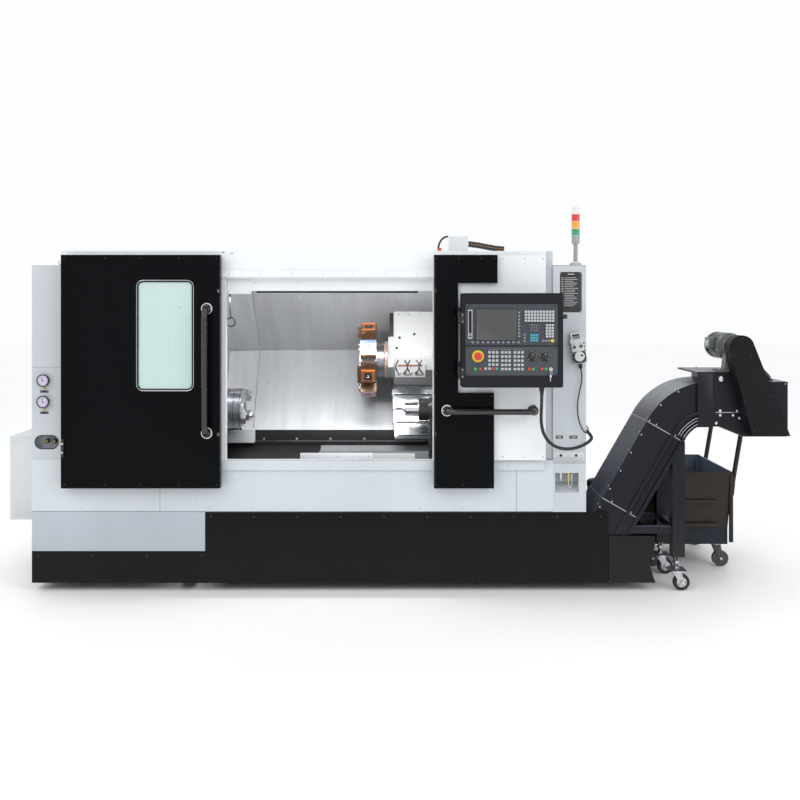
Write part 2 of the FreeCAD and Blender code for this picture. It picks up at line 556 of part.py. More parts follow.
def chuck_jaw(turn):
    """Stepped top jaw with the tee that slides in the chuck's face."""
    mid = (JAW_R0 + JAW_R1) / 2
    jaw = fuse(
        box(CHUCK_X1 + RUN, CHUCK_X1 + JAW_T, SPINDLE_Y - JAW_W / 2, SPINDLE_Y + JAW_W / 2,
            SPINDLE_Z + JAW_R0, SPINDLE_Z + mid),
        box(CHUCK_X1 + RUN, CHUCK_X1 + JAW_T * 0.62, SPINDLE_Y - JAW_W / 2, SPINDLE_Y + JAW_W / 2,
            SPINDLE_Z + mid, SPINDLE_Z + JAW_R1),
    )
    bolts = [
        rod_x(SPINDLE_Y, SPINDLE_Z + r, 6, CHUCK_X1 + JAW_T * 0.62 - 8, CHUCK_X1 + JAW_T + 1)
        for r in (mid + 10, JAW_R1 - 12)
    ]
    slide = jaw_way(0).common(
        rod_x(SPINDLE_Y, SPINDLE_Z, JAW_R1, CHUCK_X0, CHUCK_X1 + 2).cut(
            rod_x(SPINDLE_Y, SPINDLE_Z, JAW_R0 + 4, CHUCK_X0 - 1, CHUCK_X1 + 3)
        )
    )
    return around_spindle(fuse(jaw.cut(Part.makeCompound(bolts)), slide), turn)


def spindle_motor():
    """Main motor on its foot, bolted to the front of the bed."""
    body = rod_x(MOTOR_Y, MOTOR_Z, MOTOR_R, MOTOR_X0, MOTOR_X1)
    foot = box(MOTOR_X0 + 40, MOTOR_X1 - 60, MOTOR_Y + 40, BED_FRONT, MOTOR_Z - 105, MOTOR_Z - 30)
    plate = box(MOTOR_X0 + 20, MOTOR_X1 - 40, BED_FRONT - 20, BED_FRONT, MOTOR_Z - 160, MOTOR_Z - 20)
    bore = rod_x(MOTOR_Y, MOTOR_Z, MOTOR_SHAFT_R + RUN, MOTOR_X0 - 1, MOTOR_X0 + 90)
    return fuse(body, foot, plate).cut(bore)


def motor_pulley():
    return fuse(
        rod_x(MOTOR_Y, MOTOR_Z, MOTOR_PULLEY_R, SPINDLE_END, SPINDLE_END + PULLEY_W),
        rod_x(MOTOR_Y, MOTOR_Z, MOTOR_SHAFT_R, SPINDLE_END, MOTOR_X0 + 88),
    )


def loop_face(x, far, near, grow):
    """A belt's outline round two pulleys, in the plane at x: two arcs and the two runs tangent to them."""
    (y1, z1, r1), (y2, z2, r2) = far, near
    r1, r2 = r1 + grow, r2 + grow
    span = V(0, y2 - y1, z2 - z1)
    turn = acos((r1 - r2) / span.Length)
    ahead = atan2(span.z, span.y)

    def at(y, z, r, angle):
        return V(x, y + r * cos(angle), z + r * sin(angle))

    a, b = ahead + turn, ahead - turn
    half = radians(180)
    first = Part.Arc(at(y1, z1, r1, a), at(y1, z1, r1, ahead + half), at(y1, z1, r1, b))
    second = Part.Arc(at(y2, z2, r2, b), at(y2, z2, r2, ahead), at(y2, z2, r2, a))
    return Part.Face(Part.Wire([
        first.toShape(), Part.makeLine(at(y1, z1, r1, b), at(y2, z2, r2, b)),
        second.toShape(), Part.makeLine(at(y2, z2, r2, a), at(y1, z1, r1, a)),
    ]))


def drive_belt():
    far = (SPINDLE_Y, SPINDLE_Z, PULLEY_R)
    near = (MOTOR_Y, MOTOR_Z, MOTOR_PULLEY_R)
    x = SPINDLE_END + 5
    band = V(PULLEY_W - 10, 0, 0)
    outside = loop_face(x, far, near, RUN + BELT_T).extrude(band)
    return outside.cut(loop_face(x, far, near, RUN).extrude(band))


# ================================================================ carriage, turret and tailstock
def saddle():
    """Carriage that hooks round the lining's lower edge and runs on the two rails behind it."""
    low = LINER_U0 - 58
    front = box(SADDLE_X0, SADDLE_X1, low, SADDLE_U1, LINER_N + 4, SADDLE_N)
    rear_n0, rear_n1 = BED_N + RAIL_H + RUN, LINER_N - SHEET - 6
    back = box(SADDLE_X0, SADDLE_X1, low, RAIL_U[1] + RAIL_W, rear_n0, rear_n1)
    hook = box(SADDLE_X0, SADDLE_X1, low, LINER_U0 - 8, rear_n0, SADDLE_N)
    nut = box(SADDLE_X0 + 140, SADDLE_X0 + 260, SCREW_U - 28, SCREW_U + 28, SCREW_N - 26, rear_n1)
    nut = nut.cut(rod_x(SCREW_U, SCREW_N, SCREW_R + RUN, SADDLE_X0, SADDLE_X1))
    return on_slant(fuse(front, back, hook, nut))


def way_covers():
    """Stepped cover plates over the cross slide's ways, below the turret's housing."""
    plates = []
    for i in range(COVER_PLATES):
        u1 = 270.0 - i * 88
        plates.append(box(SADDLE_X0 - 16 + 6 * i, SADDLE_X1 - 4, u1 - 100, u1, SADDLE_N, -152.0 - 12 * i))
    return on_slant(fuse(*plates))


def turret_housing():
    """Cross slide with the turret's gearbox housing on it."""
    outline = [(240, -145), (240, 60), (300, 100), (637, 100), (637, 40), (480, -145)]
    case = polygon([(HOUSING_X0, u, n) for u, n in outline]).extrude(V(SADDLE_X1 + 5 - HOUSING_X0, 0, 0))
    slide = box(HOUSING_X0 + 40, SADDLE_X1 - 40, 420, 520, SADDLE_N + RUN, -145)
    slide = slide.common(box(HOUSING_X0, SADDLE_X1, 420, 500, SADDLE_N, -144))
    flange = box(-74, HOUSING_X0, 240, 455, -40, 98)
    neck = rod_x(TURRET_U, 0, NECK_R, -100, -73)
    bore = rod_x(TURRET_U, 0, TURRET_SHAFT_R + RUN, -101, HOUSING_X0 + 60)
    return on_slant(fuse(case, slide, flange, neck).cut(bore))


def station(i):
    """The way that turret station i faces, in degrees about X from the up-slant direction. Two
    neighbouring stations look 22.5 degrees above and below the level line to the operator."""
    return 180.0 - SLANT + 360.0 / TURRET_STATIONS * (i + 0.5)


def turret_point(i, r):
    a = radians(station(i))
    return TURRET_U + r * cos(a), r * sin(a)


def turret_disc():
    """Eight-sided disc, its coupling ring and the shaft that turns in the housing."""
    corner = TURRET_FLAT / cos(radians(180.0 / TURRET_STATIONS))
    points = [turret_point(i + 0.5, corner) for i in range(TURRET_STATIONS)]
    disc = polygon([(TURRET_X0, u, n) for u, n in points]).extrude(V(TURRET_X1 - TURRET_X0, 0, 0))
    ring = rod_x(TURRET_U, 0, NECK_R - 5, TURRET_X1, -100 - RUN)
    shaft = rod_x(TURRET_U, 0, TURRET_SHAFT_R, -101, HOUSING_X0 + 55)
    bore = rod_x(TURRET_U, 0, 18, TURRET_X0 - 1, TURRET_X0 + 40)
    return on_slant(fuse(disc, ring, shaft).cut(bore))


def tool_holders():
    """One block on each flat of the disc, turning holders and boring-bar holders by turns."""
    blocks = []
    for i in range(TURRET_STATIONS):
        block = box(
            TURRET_X0 + 6, TURRET_X1 - 2, -HOLDER_W / 2, HOLDER_W / 2, TURRET_FLAT,
            TURRET_FLAT + HOLDER_H,
        )
        middle = (TURRET_X0 + TURRET_X1) / 2
        if i % 2:
            block = block.cut(rod_x(0, TURRET_FLAT + 38, 20, TURRET_X0 - 1, TURRET_X1 + 1))
        else:
            block = block.cut(box(TURRET_X0, TURRET_X0 + 32, -60, 60, TURRET_FLAT + 30, TURRET_FLAT + 56))
            tool = box(TURRET_X0 - 14, TURRET_X0 + 32, -60, 44, TURRET_FLAT + 30, TURRET_FLAT + 55)
            block = fuse(block, tool)
        block = block.cut(rod_z(middle, 0, 9, TURRET_FLAT + HOLDER_H - 14, TURRET_FLAT + HOLDER_H + 1))
        block.rotate(V(0, 0, 0), V(1, 0, 0), station(i) - 90)
        block.translate(V(0, TURRET_U, 0))
        blocks.append(on_slant(block))
    return Part.makeCompound(blocks)


def z_ballscrew():
    return on_slant(rod_x(SCREW_U, SCREW_N, SCREW_R, LEFT_WALL_X + 60, BED_X1 - 10))


def tailstock_body():
    """Casting astride the ridge, with the quill's barrel and its knurled nut."""
    foot = box(TAIL_X0, TAIL_X1, RIDGE_Y0 - 44, RIDGE_Y1 + 8 + RUN, RIDGE_Z - 50, RIDGE_Z + 70)
    foot = foot.cut(box(
        TAIL_X0 - 1, TAIL_X1 + 1, RIDGE_Y0 - RUN, RIDGE_Y1 + RUN, RIDGE_Z - 51, RIDGE_Z + RUN,
    ))
    post = box(TAIL_X0, TAIL_X1, SPINDLE_Y - 62, SPINDLE_Y + 52, RIDGE_Z + 20, SPINDLE_Z)
    barrel = rod_x(SPINDLE_Y, SPINDLE_Z, TAIL_R, TAIL_X0, TAIL_X1 + 10)
    nut = rod_x(SPINDLE_Y, SPINDLE_Z, NUT_R, NUT_X, TAIL_X0)
    bore = rod_x(SPINDLE_Y, SPINDLE_Z, QUILL_R + RUN, NUT_X - 1, QUILL_X1 + QUILL_STROKE + 4)
    return fuse(foot, post, barrel, nut).cut(bore)


def tailstock_quill():
    """Quill with its tapered socket."""
    body = rod_x(SPINDLE_Y, SPINDLE_Z, QUILL_R, QUILL_X0, QUILL_X1)
    socket = Part.makeCone(20, 15, 110, V(QUILL_X0, SPINDLE_Y, SPINDLE_Z), V(1, 0, 0))
    return body.cut(socket)


# ================================================================ doors
def door_tray(x0, x1, z0, z1, front, back):
    """A folded door skin, open at the back."""
    w = DOOR_WALL
    return box(x0, x1, front, back, z0, z1).cut(box(x0 + w, x1 - w, front + w, back + 1, z0 + w, z1 - w))


def hangers(x0, x1, front):
    """Blocks that hook over the top rail."""
    inset = 90.0
    return [
        box(x, x + HANGER_W, front + DOOR_WALL, -RUN * 10, RAIL_HIGH + RUN, RAIL_HIGH + RUN + HANGER_H)
        for x in (x0 + inset, x1 - inset - HANGER_W)
    ]


def lower_hooks(places):
    return [
        box(x, x + HANGER_W, DOOR_FRONT + DOOR_WALL, -RUN * 10, GUIDE_LOW - RUN - HANGER_H, GUIDE_LOW - RUN)
        for x in places
    ]


def left_door_panel():
    tray = door_tray(LEFT_DOOR_X0, LEFT_DOOR_X1, DOOR_LOW, DOOR_TOP, DOOR_FRONT, DOOR_BACK)
    hole = rounded_y(WINDOW_X0, WINDOW_X1, WINDOW_Z0, WINDOW_Z1, WINDOW_R, DOOR_FRONT - 1, DOOR_BACK)
    parts = hangers(LEFT_DOOR_X0, LEFT_DOOR_X1, DOOR_FRONT)
    parts += lower_hooks((LEFT_DOOR_X0 + 90, LEFT_DOOR_X1 - 90 - HANGER_W))
    return fuse(tray.cut(hole), *parts)


def left_door_glass():
    lap = WINDOW_LAP
    y = DOOR_FRONT + DOOR_WALL
    return rounded_y(
        WINDOW_X0 - lap, WINDOW_X1 + lap, WINDOW_Z0 - lap, WINDOW_Z1 + lap, WINDOW_R + lap, y,
        y + GLASS_T,
    )


def grip(length, off):
    """A bar handle along +Z from the origin, standing off in -Y, bent back at both ends, with flanges."""
    r, b = HANDLE_R, HANDLE_BEND
    cut = b * sin(radians(45))
    path = Part.Wire([
        Part.makeLine(V(0, -FLANGE_T, 0), V(0, -off + b, 0)),
        Part.Arc(V(0, -off + b, 0), V(0, -off + b - cut, b - cut), V(0, -off, b)).toShape(),
        Part.makeLine(V(0, -off, b), V(0, -off, length - b)),
        Part.Arc(
            V(0, -off, length - b), V(0, -off + b - cut, length - b + cut), V(0, -off + b, length)
        ).toShape(),
        Part.makeLine(V(0, -off + b, length), V(0, -FLANGE_T, length)),
    ])
    ring = Part.Wire(Part.makeCircle(r, V(0, -FLANGE_T, 0), V(0, -1, 0)))
    bar = path.makePipeShell([ring], True, True)
    flanges = [rod_y(0, z, FLANGE_R, -FLANGE_T, 0) for z in (0, length)]
    return fuse(bar, *flanges)


def left_door_handle():
    shape = grip(LEFT_HANDLE_Z1 - LEFT_HANDLE_Z0, HANDLE_OFF)
    shape.translate(V(LEFT_HANDLE_X, DOOR_FRONT, LEFT_HANDLE_Z0))
    return shape


def right_door_panel():
    tray = door_tray(RIGHT_DOOR_X0, RIGHT_DOOR_X1, RIGHT_PANEL_LOW, DOOR_TOP, RIGHT_PANEL_FRONT, DOOR_BACK)
    return fuse(tray, *hangers(RIGHT_DOOR_X0, RIGHT_DOOR_X1, RIGHT_PANEL_FRONT))


def right_door_skin():
    """Black outer skin, shaped like a square bracket round the operator panel."""
    x0, w = RIGHT_DOOR_X0, DOOR_WALL
    outline = [
        (x0, DOOR_LOW), (x0 + SKIN_LOW_ARM, DOOR_LOW), (x0 + SKIN_LOW_ARM, SKIN_LOW_Z),
        (x0 + SKIN_STEM, SKIN_LOW_Z),
        (x0 + SKIN_STEM, SKIN_TOP_Z), (x0 + SKIN_TOP_ARM, SKIN_TOP_Z), (x0 + SKIN_TOP_ARM, DOOR_TOP),
        (x0, DOOR_TOP),
    ]
    hollow = [
        (x0 + w, DOOR_LOW + w), (x0 + SKIN_LOW_ARM - w, DOOR_LOW + w),
        (x0 + SKIN_LOW_ARM - w, SKIN_LOW_Z - w),
        (x0 + SKIN_STEM - w, SKIN_LOW_Z - w), (x0 + SKIN_STEM - w, SKIN_TOP_Z + w),
        (x0 + SKIN_TOP_ARM - w, SKIN_TOP_Z + w), (x0 + SKIN_TOP_ARM - w, DOOR_TOP - w),
        (x0 + w, DOOR_TOP - w),
    ]
    tray = prism_y(outline, DOOR_FRONT, RIGHT_PANEL_FRONT).cut(prism_y(
        hollow, DOOR_FRONT + w, RIGHT_PANEL_FRONT + 1,
    ))
    tail = box(x0, x0 + SKIN_LOW_ARM, RIGHT_PANEL_FRONT, DOOR_BACK, DOOR_LOW, RIGHT_PANEL_LOW).cut(
        box(
            x0 + w, x0 + SKIN_LOW_ARM - w, RIGHT_PANEL_FRONT - 1, DOOR_BACK + 1, DOOR_LOW + w,
            RIGHT_PANEL_LOW + 1,
        )
    )
    return fuse(tray, tail, *lower_hooks((x0 + 40, x0 + SKIN_LOW_ARM - 40 - HANGER_W)))


def right_door_handle():
    shape = grip(RIGHT_HANDLE_X1 - RIGHT_HANDLE_X0, HANDLE_OFF)
    shape.rotate(V(0, 0, 0), V(0, 1, 0), 90)
    shape.translate(V(RIGHT_HANDLE_X0, DOOR_FRONT, RIGHT_HANDLE_Z))
    post = rod_y(RIGHT_HANDLE_X1, RIGHT_HANDLE_Z, HANDLE_R, DOOR_FRONT, RIGHT_PANEL_FRONT)
    return fuse(shape, post)


# ================================================================ operator panel
def panel_box():
    """Rear housing of the operator panel, its arm to the column strip and its half of the hinges."""
    back = PANEL_FRONT + FACE_T + RUN
    w = PANEL_WALL
    shell = box(PANEL_X0, PANEL_X1, back, PANEL_BACK, PANEL_Z0, PANEL_Z1).cut(
        box(PANEL_X0 + w, PANEL_X1 - w, back - 1, PANEL_BACK - w, PANEL_Z0 + w, PANEL_Z1 - w)
    )
    arm = box(ARM_X0, ARM_X1, PANEL_BACK, 12, ARM_Z0, ARM_Z1)
    gland = rod_z(CONDUIT_ROUTE[0][0], CONDUIT_ROUTE[0][1], 14, CONDUIT_ROUTE[0][2], PANEL_Z0)
    parts = [arm, gland]
    y = back + HINGE_R
    for z in HINGE_Z:
        leaf = box(HINGE_X, PANEL_X0, y - 3, y + 8, z, z + KNUCKLE)
        parts.append(fuse(leaf, rod_z(HINGE_X, y, HINGE_R, z, z + KNUCKLE)))
        parts.append(rod_z(HINGE_X, y, HINGE_PIN, z + KNUCKLE - 1, z + 2 * KNUCKLE))
    return fuse(shell, *parts)


def panel_face():
    """Front of the panel, hinged at its left edge, with its half of the hinges."""
    y = PANEL_FRONT + FACE_T + RUN + HINGE_R
    face = box(PANEL_X0, PANEL_X1, PANEL_FRONT, PANEL_FRONT + FACE_T, PANEL_Z0, PANEL_Z1)
    holes = [rod_y(STOP_X, KEY_Z, STOP_STEM_R + RUN, PANEL_FRONT - 1, PANEL_FRONT + FACE_T + 1)]
    holes += [rod_y(x, KEY_Z, KNOB_STEM_R + RUN, PANEL_FRONT - 1, PANEL_FRONT + FACE_T + 1) for x in KNOB_X]
    knuckles = []
    for z in HINGE_Z:
        z0, z1 = z + KNUCKLE + RUN, z + 2 * KNUCKLE
        knuckle = fuse(
            rod_z(HINGE_X, y, HINGE_R, z0, z1),
            box(HINGE_X, PANEL_X0 + 1, PANEL_FRONT + FACE_T - 12, PANEL_FRONT + FACE_T, z0, z1),
            box(HINGE_X - HINGE_R, HINGE_X, PANEL_FRONT + FACE_T - 12, y, z0, z1),
        )
        knuckles.append(knuckle.cut(rod_z(HINGE_X, y, HINGE_PIN + RUN, z0 - 1, z1 + 1)))
    return fuse(face.cut(Part.makeCompound(holes)), *knuckles)


def estop_button():
    """Mushroom head and its stem."""
    head = rod_y(STOP_X, KEY_Z, STOP_R, PANEL_FRONT - STOP_H, PANEL_FRONT - STOP_H + 14)
    front = PANEL_FRONT - STOP_H
    rim = [e for e in head.Edges if abs(e.BoundBox.YMin - front) < 0.01 and e.BoundBox.YLength < 0.01]
    head = head.makeFillet(5, rim)
    stem = rod_y(
        STOP_X, KEY_Z, STOP_STEM_R, PANEL_FRONT - STOP_H + 14, PANEL_FRONT + FACE_T - STOP_TRAVEL - 2,
    )
    return fuse(head, stem)


def switch_knob(x):
    """Ribbed rotary switch: a skirt, a finger bar and a stem."""
    skirt = rod_y(x, KEY_Z, KNOB_R, PANEL_FRONT - 6, PANEL_FRONT - RUN)
    barrel = rod_y(x, KEY_Z, KNOB_R - 5, PANEL_FRONT - KNOB_H, PANEL_FRONT - 6)
    stem = rod_y(x, KEY_Z, KNOB_STEM_R, PANEL_FRONT - 6, PANEL_FRONT + FACE_T - 4)
    mark = box(
        x - 1.2, x + 1.2, PANEL_FRONT - KNOB_H - 1.2, PANEL_FRONT - KNOB_H, KEY_Z, KEY_Z + KNOB_R - 6,
    )
    return fuse(skirt, barrel, stem, mark)


def on_pendant(shape):
    """Places a shape drawn about the middle of the pendant's back."""
    placed = shape.copy()
    placed.rotate(V(0, 0, 0), V(0, 1, 0), PENDANT_TILT)
    placed.translate(PENDANT)
    return placed


def pendant_body():
    """Hand-wheel box with its hanging loop, magnets, pins for the dials and the lead's strain relief."""
    w, h, t = PENDANT_W / 2, PENDANT_H / 2, PENDANT_T
    case = rounded_y(-w, w, -h, h, 8, -t, 0)
    loop = rounded_y(-w + 8, w - 8, h - 6, h + 34, 7, -t + 8, -8)
    loop = loop.cut(rounded_y(-w + 16, w - 16, h, h + 26, 4, -t, 0))
    feet = [rod_y(0, z, 12, 0, -PENDANT.y) for z in (-h + 24, h - 24)]
    pins = [rod_y(0, DIAL_Z, PIN_R, -t - DIAL_H + 2, -t)]
    for x in (-PENDANT_KNOB_X, PENDANT_KNOB_X):
        pins.append(rod_y(x, PENDANT_KNOB_Z, PIN_R, -t - PENDANT_KNOB_H + 2, -t))
    relief = Part.makeCone(4.5, 8, RELIEF_H, V(0, -t / 2, -h - RELIEF_H))
    return on_pendant(fuse(case, loop, relief, *feet, *pins))


def pendant_turner(x, z, r, height):
    """A dial that turns on its pin."""
    front = -PENDANT_T - height
    disc = rod_y(x, z, r, front, -PENDANT_T - RUN)
    grip_hole = rod_y(x + r * 0.62, z, r * 0.16, front - 1, front + 3)
    return on_pendant(disc.cut(rod_y(x, z, PIN_R + RUN, front + 2 - RUN, -PENDANT_T)).cut(grip_hole))


def stack_light():
    """Pole, base and the light's body with its lens grooves, on top of the column."""
    low = LIGHT_TOP - 48 - LIGHT_LENSES * LENS_H
    parts = [
        rod_z(LIGHT_X, LIGHT_Y, 34, LOW_TOP_Z, LOW_TOP_Z + 14),
        rod_z(LIGHT_X, LIGHT_Y, LIGHT_POLE_R, LOW_TOP_Z, low),
    ]
    parts.append(rod_z(LIGHT_X, LIGHT_Y, LIGHT_R, low - 44, LIGHT_TOP - 48))
    parts.append(rod_z(LIGHT_X, LIGHT_Y, LIGHT_R - 2, LIGHT_TOP - 48, LIGHT_TOP - 12))
    parts.append(Part.makeCone(LIGHT_R - 2, LIGHT_R - 10, 12, V(LIGHT_X, LIGHT_Y, LIGHT_TOP - 12)))
    body = fuse(*parts)
    for i in range(LIGHT_LENSES + 1):
        z = low + i * LENS_H
        ring = rod_z(LIGHT_X, LIGHT_Y, LIGHT_R + 1, z - 1, z + 1).cut(rod_z(
            LIGHT_X, LIGHT_Y, LIGHT_R - 1.5, z - 2, z + 2,
        ))
        body = body.cut(ring)
    return body


# ================================================================ cords
def cord(points, r):
    """A round cord along straight runs joined by tangent arcs."""
    pts = [V(*p) for p in points]
    edges, at = [], pts[0]
    for a, b, c in zip(pts, pts[1:], pts[2:]):
        into, out = (b - a), (c - b)
        short = min(into.Length, out.Length)
        into.normalize()
        out.normalize()
        turn = acos(max(-1.0, min(1.0, into.dot(out))))
        back = 0.45 * short
        radius = back / tan(turn / 2)
        start, end = b - into * back, b + out * back
        bisector = (out - into).normalize()
        centre = b + bisector * (radius / cos(turn / 2))
        mid = centre - bisector * radius
        edges.append(Part.LineSegment(at, start).toShape())
        edges.append(Part.Arc(start, mid, end).toShape())
        at = end
    edges.append(Part.LineSegment(at, pts[-1]).toShape())
    path = Part.Wire(edges)
    ring = Part.Wire(Part.makeCircle(r, pts[0], pts[1] - pts[0]))
    return path.makePipeShell([ring], True, True)


# ================================================================ coolant tank and chip conveyor
def coolant_tank():
    """Open tank under the chute, longer than the plinth, with a kicked-in end skirt, and the pump."""
    w = TANK_WALL
    shown = PLINTH_RIGHT + 3
    low, top, kick = PLINTH_Z, TANK_Z1, 30.0
    body = fuse(
        box(TANK_X0, shown + 1, TANK_Y0, TANK_Y1, TANK_Z0, TANK_Z1),
        box(shown, TANK_X1, 0, TANK_Y1, TANK_Z0, TANK_Z1),
    )
    room = fuse(
        box(TANK_X0 + w, shown + w + 1, TANK_Y0 + w, TANK_Y1 - w, TANK_Z0 + w, TANK_Z1 + 1),
        box(shown + w, TANK_X1 - w, w, TANK_Y1 - w, TANK_Z0 + w, TANK_Z1 + 1),
    )
    notch = prism_y(
        [
            (TANK_X1 + 1, TANK_Z1 - 60), (TANK_X1 - kick, TANK_Z1 - 118),
            (TANK_X1 - kick, TANK_Z1 - 150), (TANK_X1 + 1, low),
        ],
        -1, TANK_Y1 + 1,
    )
    lining = prism_y(
        [(TANK_X1, TANK_Z1 - 56), (TANK_X1 - kick - w, TANK_Z1 - 116), (TANK_X1 - kick - w, TANK_Z1 - 150),
         (TANK_X1 - w, TANK_Z0), (TANK_X1, TANK_Z0)],
        0, TANK_Y1,
    )
    deck = box(PLINTH_RIGHT + 20, PUMP_X + 90, CONV_Y1 + 6, TANK_Y1 - w, TANK_Z1 - w, TANK_Z1)
    hole = rod_z(PUMP_X, PUMP_Y, 46, TANK_Z1 - 10, TANK_Z1 + 1)
    pump = fuse(
        rod_z(PUMP_X, PUMP_Y, 45, TANK_Z0 + 40, TANK_Z1 + 1),
        rod_z(PUMP_X, PUMP_Y, 64, TANK_Z1, TANK_Z1 + 12),
        rod_z(PUMP_X, PUMP_Y, PUMP_R, TANK_Z1 + 12, PUMP_TOP),
    )
    shell = fuse(body.cut(room), lining).cut(notch)
    skirt = box(shown, TANK_X1, 0, w, low, TANK_Z0)
    return Part.makeCompound([fuse(shell, skirt, deck).cut(hole), pump])


def bend_points():
    """Centre of the lower bend and both ends of the incline's middle line."""
    s, c = sin(radians(CONV_ANGLE)), cos(radians(CONV_ANGLE))
    top = (CONV_BEND2_X - CONV_R2 * s, CONV_BEND2_Z + CONV_R2 * c)
    low_z = CONV_LOW_Z + CONV_R1 * (1 - c)
    low = (top[0] - (top[1] - low_z) / tan(radians(CONV_ANGLE)), low_z)
    centre = (low[0] - CONV_R1 * s, CONV_LOW_Z + CONV_R1)
    return centre, low, top


def path_edges(offset, x0, x1, y):
    """The conveyor's line, offset square to itself, from x0 on the lower run to x1 on the upper run."""
    s, c = sin(radians(CONV_ANGLE)), cos(radians(CONV_ANGLE))
    s2, c2 = sin(radians(CONV_ANGLE / 2)), cos(radians(CONV_ANGLE / 2))
    (cx, cz), low, top = bend_points()
    r1, r2 = CONV_R1 - offset, CONV_R2 + offset
    start = V(x0, y, CONV_LOW_Z + offset)
    b1 = V(cx, y, cz - r1)
    b1m = V(cx + r1 * s2, y, cz - r1 * c2)
    b1e = V(cx + r1 * s, y, cz - r1 * c)
    b2 = V(CONV_BEND2_X - r2 * s, y, CONV_BEND2_Z + r2 * c)
    b2m = V(CONV_BEND2_X - r2 * s2, y, CONV_BEND2_Z + r2 * c2)
    b2e = V(CONV_BEND2_X, y, CONV_BEND2_Z + r2)
    edges = [
        Part.makeLine(start, b1), Part.Arc(b1, b1m, b1e).toShape(), Part.makeLine(b1e, b2),
        Part.Arc(b2, b2m, b2e).toShape(),
    ]
    end = b2e
    if x1 > CONV_BEND2_X:
        end = V(x1, y, CONV_BEND2_Z + r2)
        edges.append(Part.makeLine(b2e, end))
    return start, edges, end


def ribbon(o0, o1, x0, x1, y0, y1):
    """The solid between two offsets of the conveyor's line."""
    s0, e0, t0 = path_edges(o0, x0, x1, y0)
    s1, e1, t1 = path_edges(o1, x0, x1, y0)
    wire = Part.Wire(Part.__sortEdges__(e0 + [Part.makeLine(t0, t1)] + e1 + [Part.makeLine(s1, s0)]))
    return Part.Face(wire).extrude(V(0, y1 - y0, 0))


def conveyor_outer():
    h = CONV_H / 2
    return ribbon(-h, h, CONV_START, CONV_BEND2_X, CONV_Y0, CONV_Y1)


def conveyor_body():
    """Trough, bend, incline and bend in folded sheet, open above the lower run, with side rails."""
    h, w = CONV_H / 2, CONV_WALL
    shell = conveyor_outer().cut(ribbon(
        -h + w, h - w, CONV_START + w, CONV_BEND2_X + 1, CONV_Y0 + w, CONV_Y1 - w,
    ))
    mouth = box(
        CONV_START + 30, 760, CONV_Y0 + 30, CONV_Y1 - 30, CONV_LOW_Z + h - w - 1, CONV_LOW_Z + h + 60,
    )
    shell = shell.cut(mouth)
    rails = []
    for o in (-h, -h + 62):
        rail = ribbon(o, o + 14, PLINTH_STEP_X, CONV_BEND2_X, CONV_Y0 - SIDE_RAIL_T, CONV_Y0)
        rails.append(rail.common(box(TANK_X0, CONV_BEND2_X, -100, CONV_Y0, TANK_Z1 + 12, TOP_Z)))
    skids = []
    for x in (-900.0, -100.0, 700.0):
        skids.append(box(x, x + 40, CONV_Y0, CONV_Y1, TANK_Z0 + TANK_WALL, CONV_LOW_Z - h))
    return fuse(shell, *rails, *skids)


def conveyor_head():
    """Discharge head: side plates, cover, motor plate and the opening that chips fall through."""
    x0, w = CONV_BEND2_X, 4.0
    outline = [
        (x0, HEAD_TOP), (x0 + 131, HEAD_TOP), (x0 + 131, HEAD_STEP), (HEAD_END, HEAD_STEP),
        (HEAD_END, HEAD_LOW),
        (x0 + 171, HEAD_LOW), (x0 + 41, HEAD_LOW + 55), (x0, HEAD_LOW + 55),
    ]
    hollow = [
        (x0 + w, HEAD_TOP - w), (x0 + 131 - w, HEAD_TOP - w), (x0 + 131 - w, HEAD_STEP - w),
        (HEAD_END - w, HEAD_STEP - w),
        (HEAD_END - w, HEAD_LOW + w), (x0 + 172, HEAD_LOW + w), (x0 + 42, HEAD_LOW + 55 + w),
        (x0 + w, HEAD_LOW + 55 + w),
    ]
    shell = prism_y(outline, HEAD_Y0, HEAD_Y1).cut(prism_y(hollow, HEAD_Y0 + w, HEAD_Y1 - w))
    h = CONV_H / 2 - CONV_WALL
    middle = CONV_BEND2_Z + CONV_R2
    way_in = box(x0 - 1, x0 + w + 1, CONV_Y0 + CONV_WALL, CONV_Y1 - CONV_WALL, middle - h, middle + h)
    way_out = box(x0 + 200, HEAD_END - 24, HEAD_Y0 + 20, HEAD_Y1 - 20, HEAD_LOW - 1, HEAD_LOW + w + 1)
    shaft_hole = rod_y(DRIVE_X, middle, DRIVE_R + RUN, HEAD_Y0 - 1, HEAD_Y1 + 1)
    plate = box(x0 - 80, x0 + 200, HEAD_Y0 + 10, HEAD_Y1, HEAD_TOP, HEAD_TOP + 10)
    return fuse(shell.cut(way_in).cut(way_out).cut(shaft_hole), plate)


def conveyor_motor():
    """Geared motor on the motor plate, its shaft along Y into the chain guard."""
    z0 = HEAD_TOP + 10
    motor = rod_y(GEAR_X, GEAR_Z, GEAR_MOTOR_R, 80, 330)
    gearcase = fuse(
        rod_y(GEAR_X, GEAR_Z, 58, 16, 80),
        prism_y(
            [(GEAR_X - 62, z0), (GEAR_X + 50, z0), (GEAR_X + 45, GEAR_Z), (GEAR_X - 45, GEAR_Z)], 18,
            78,
        ),
        box(GEAR_X - 92, GEAR_X + 62, 12, 120, z0, z0 + 12),
    )
    shaft = fuse(rod_y(GEAR_X, GEAR_Z, 14, -60, 16), rod_y(GEAR_X, GEAR_Z, 38, -45, -30))
    return fuse(motor, gearcase, shaft)


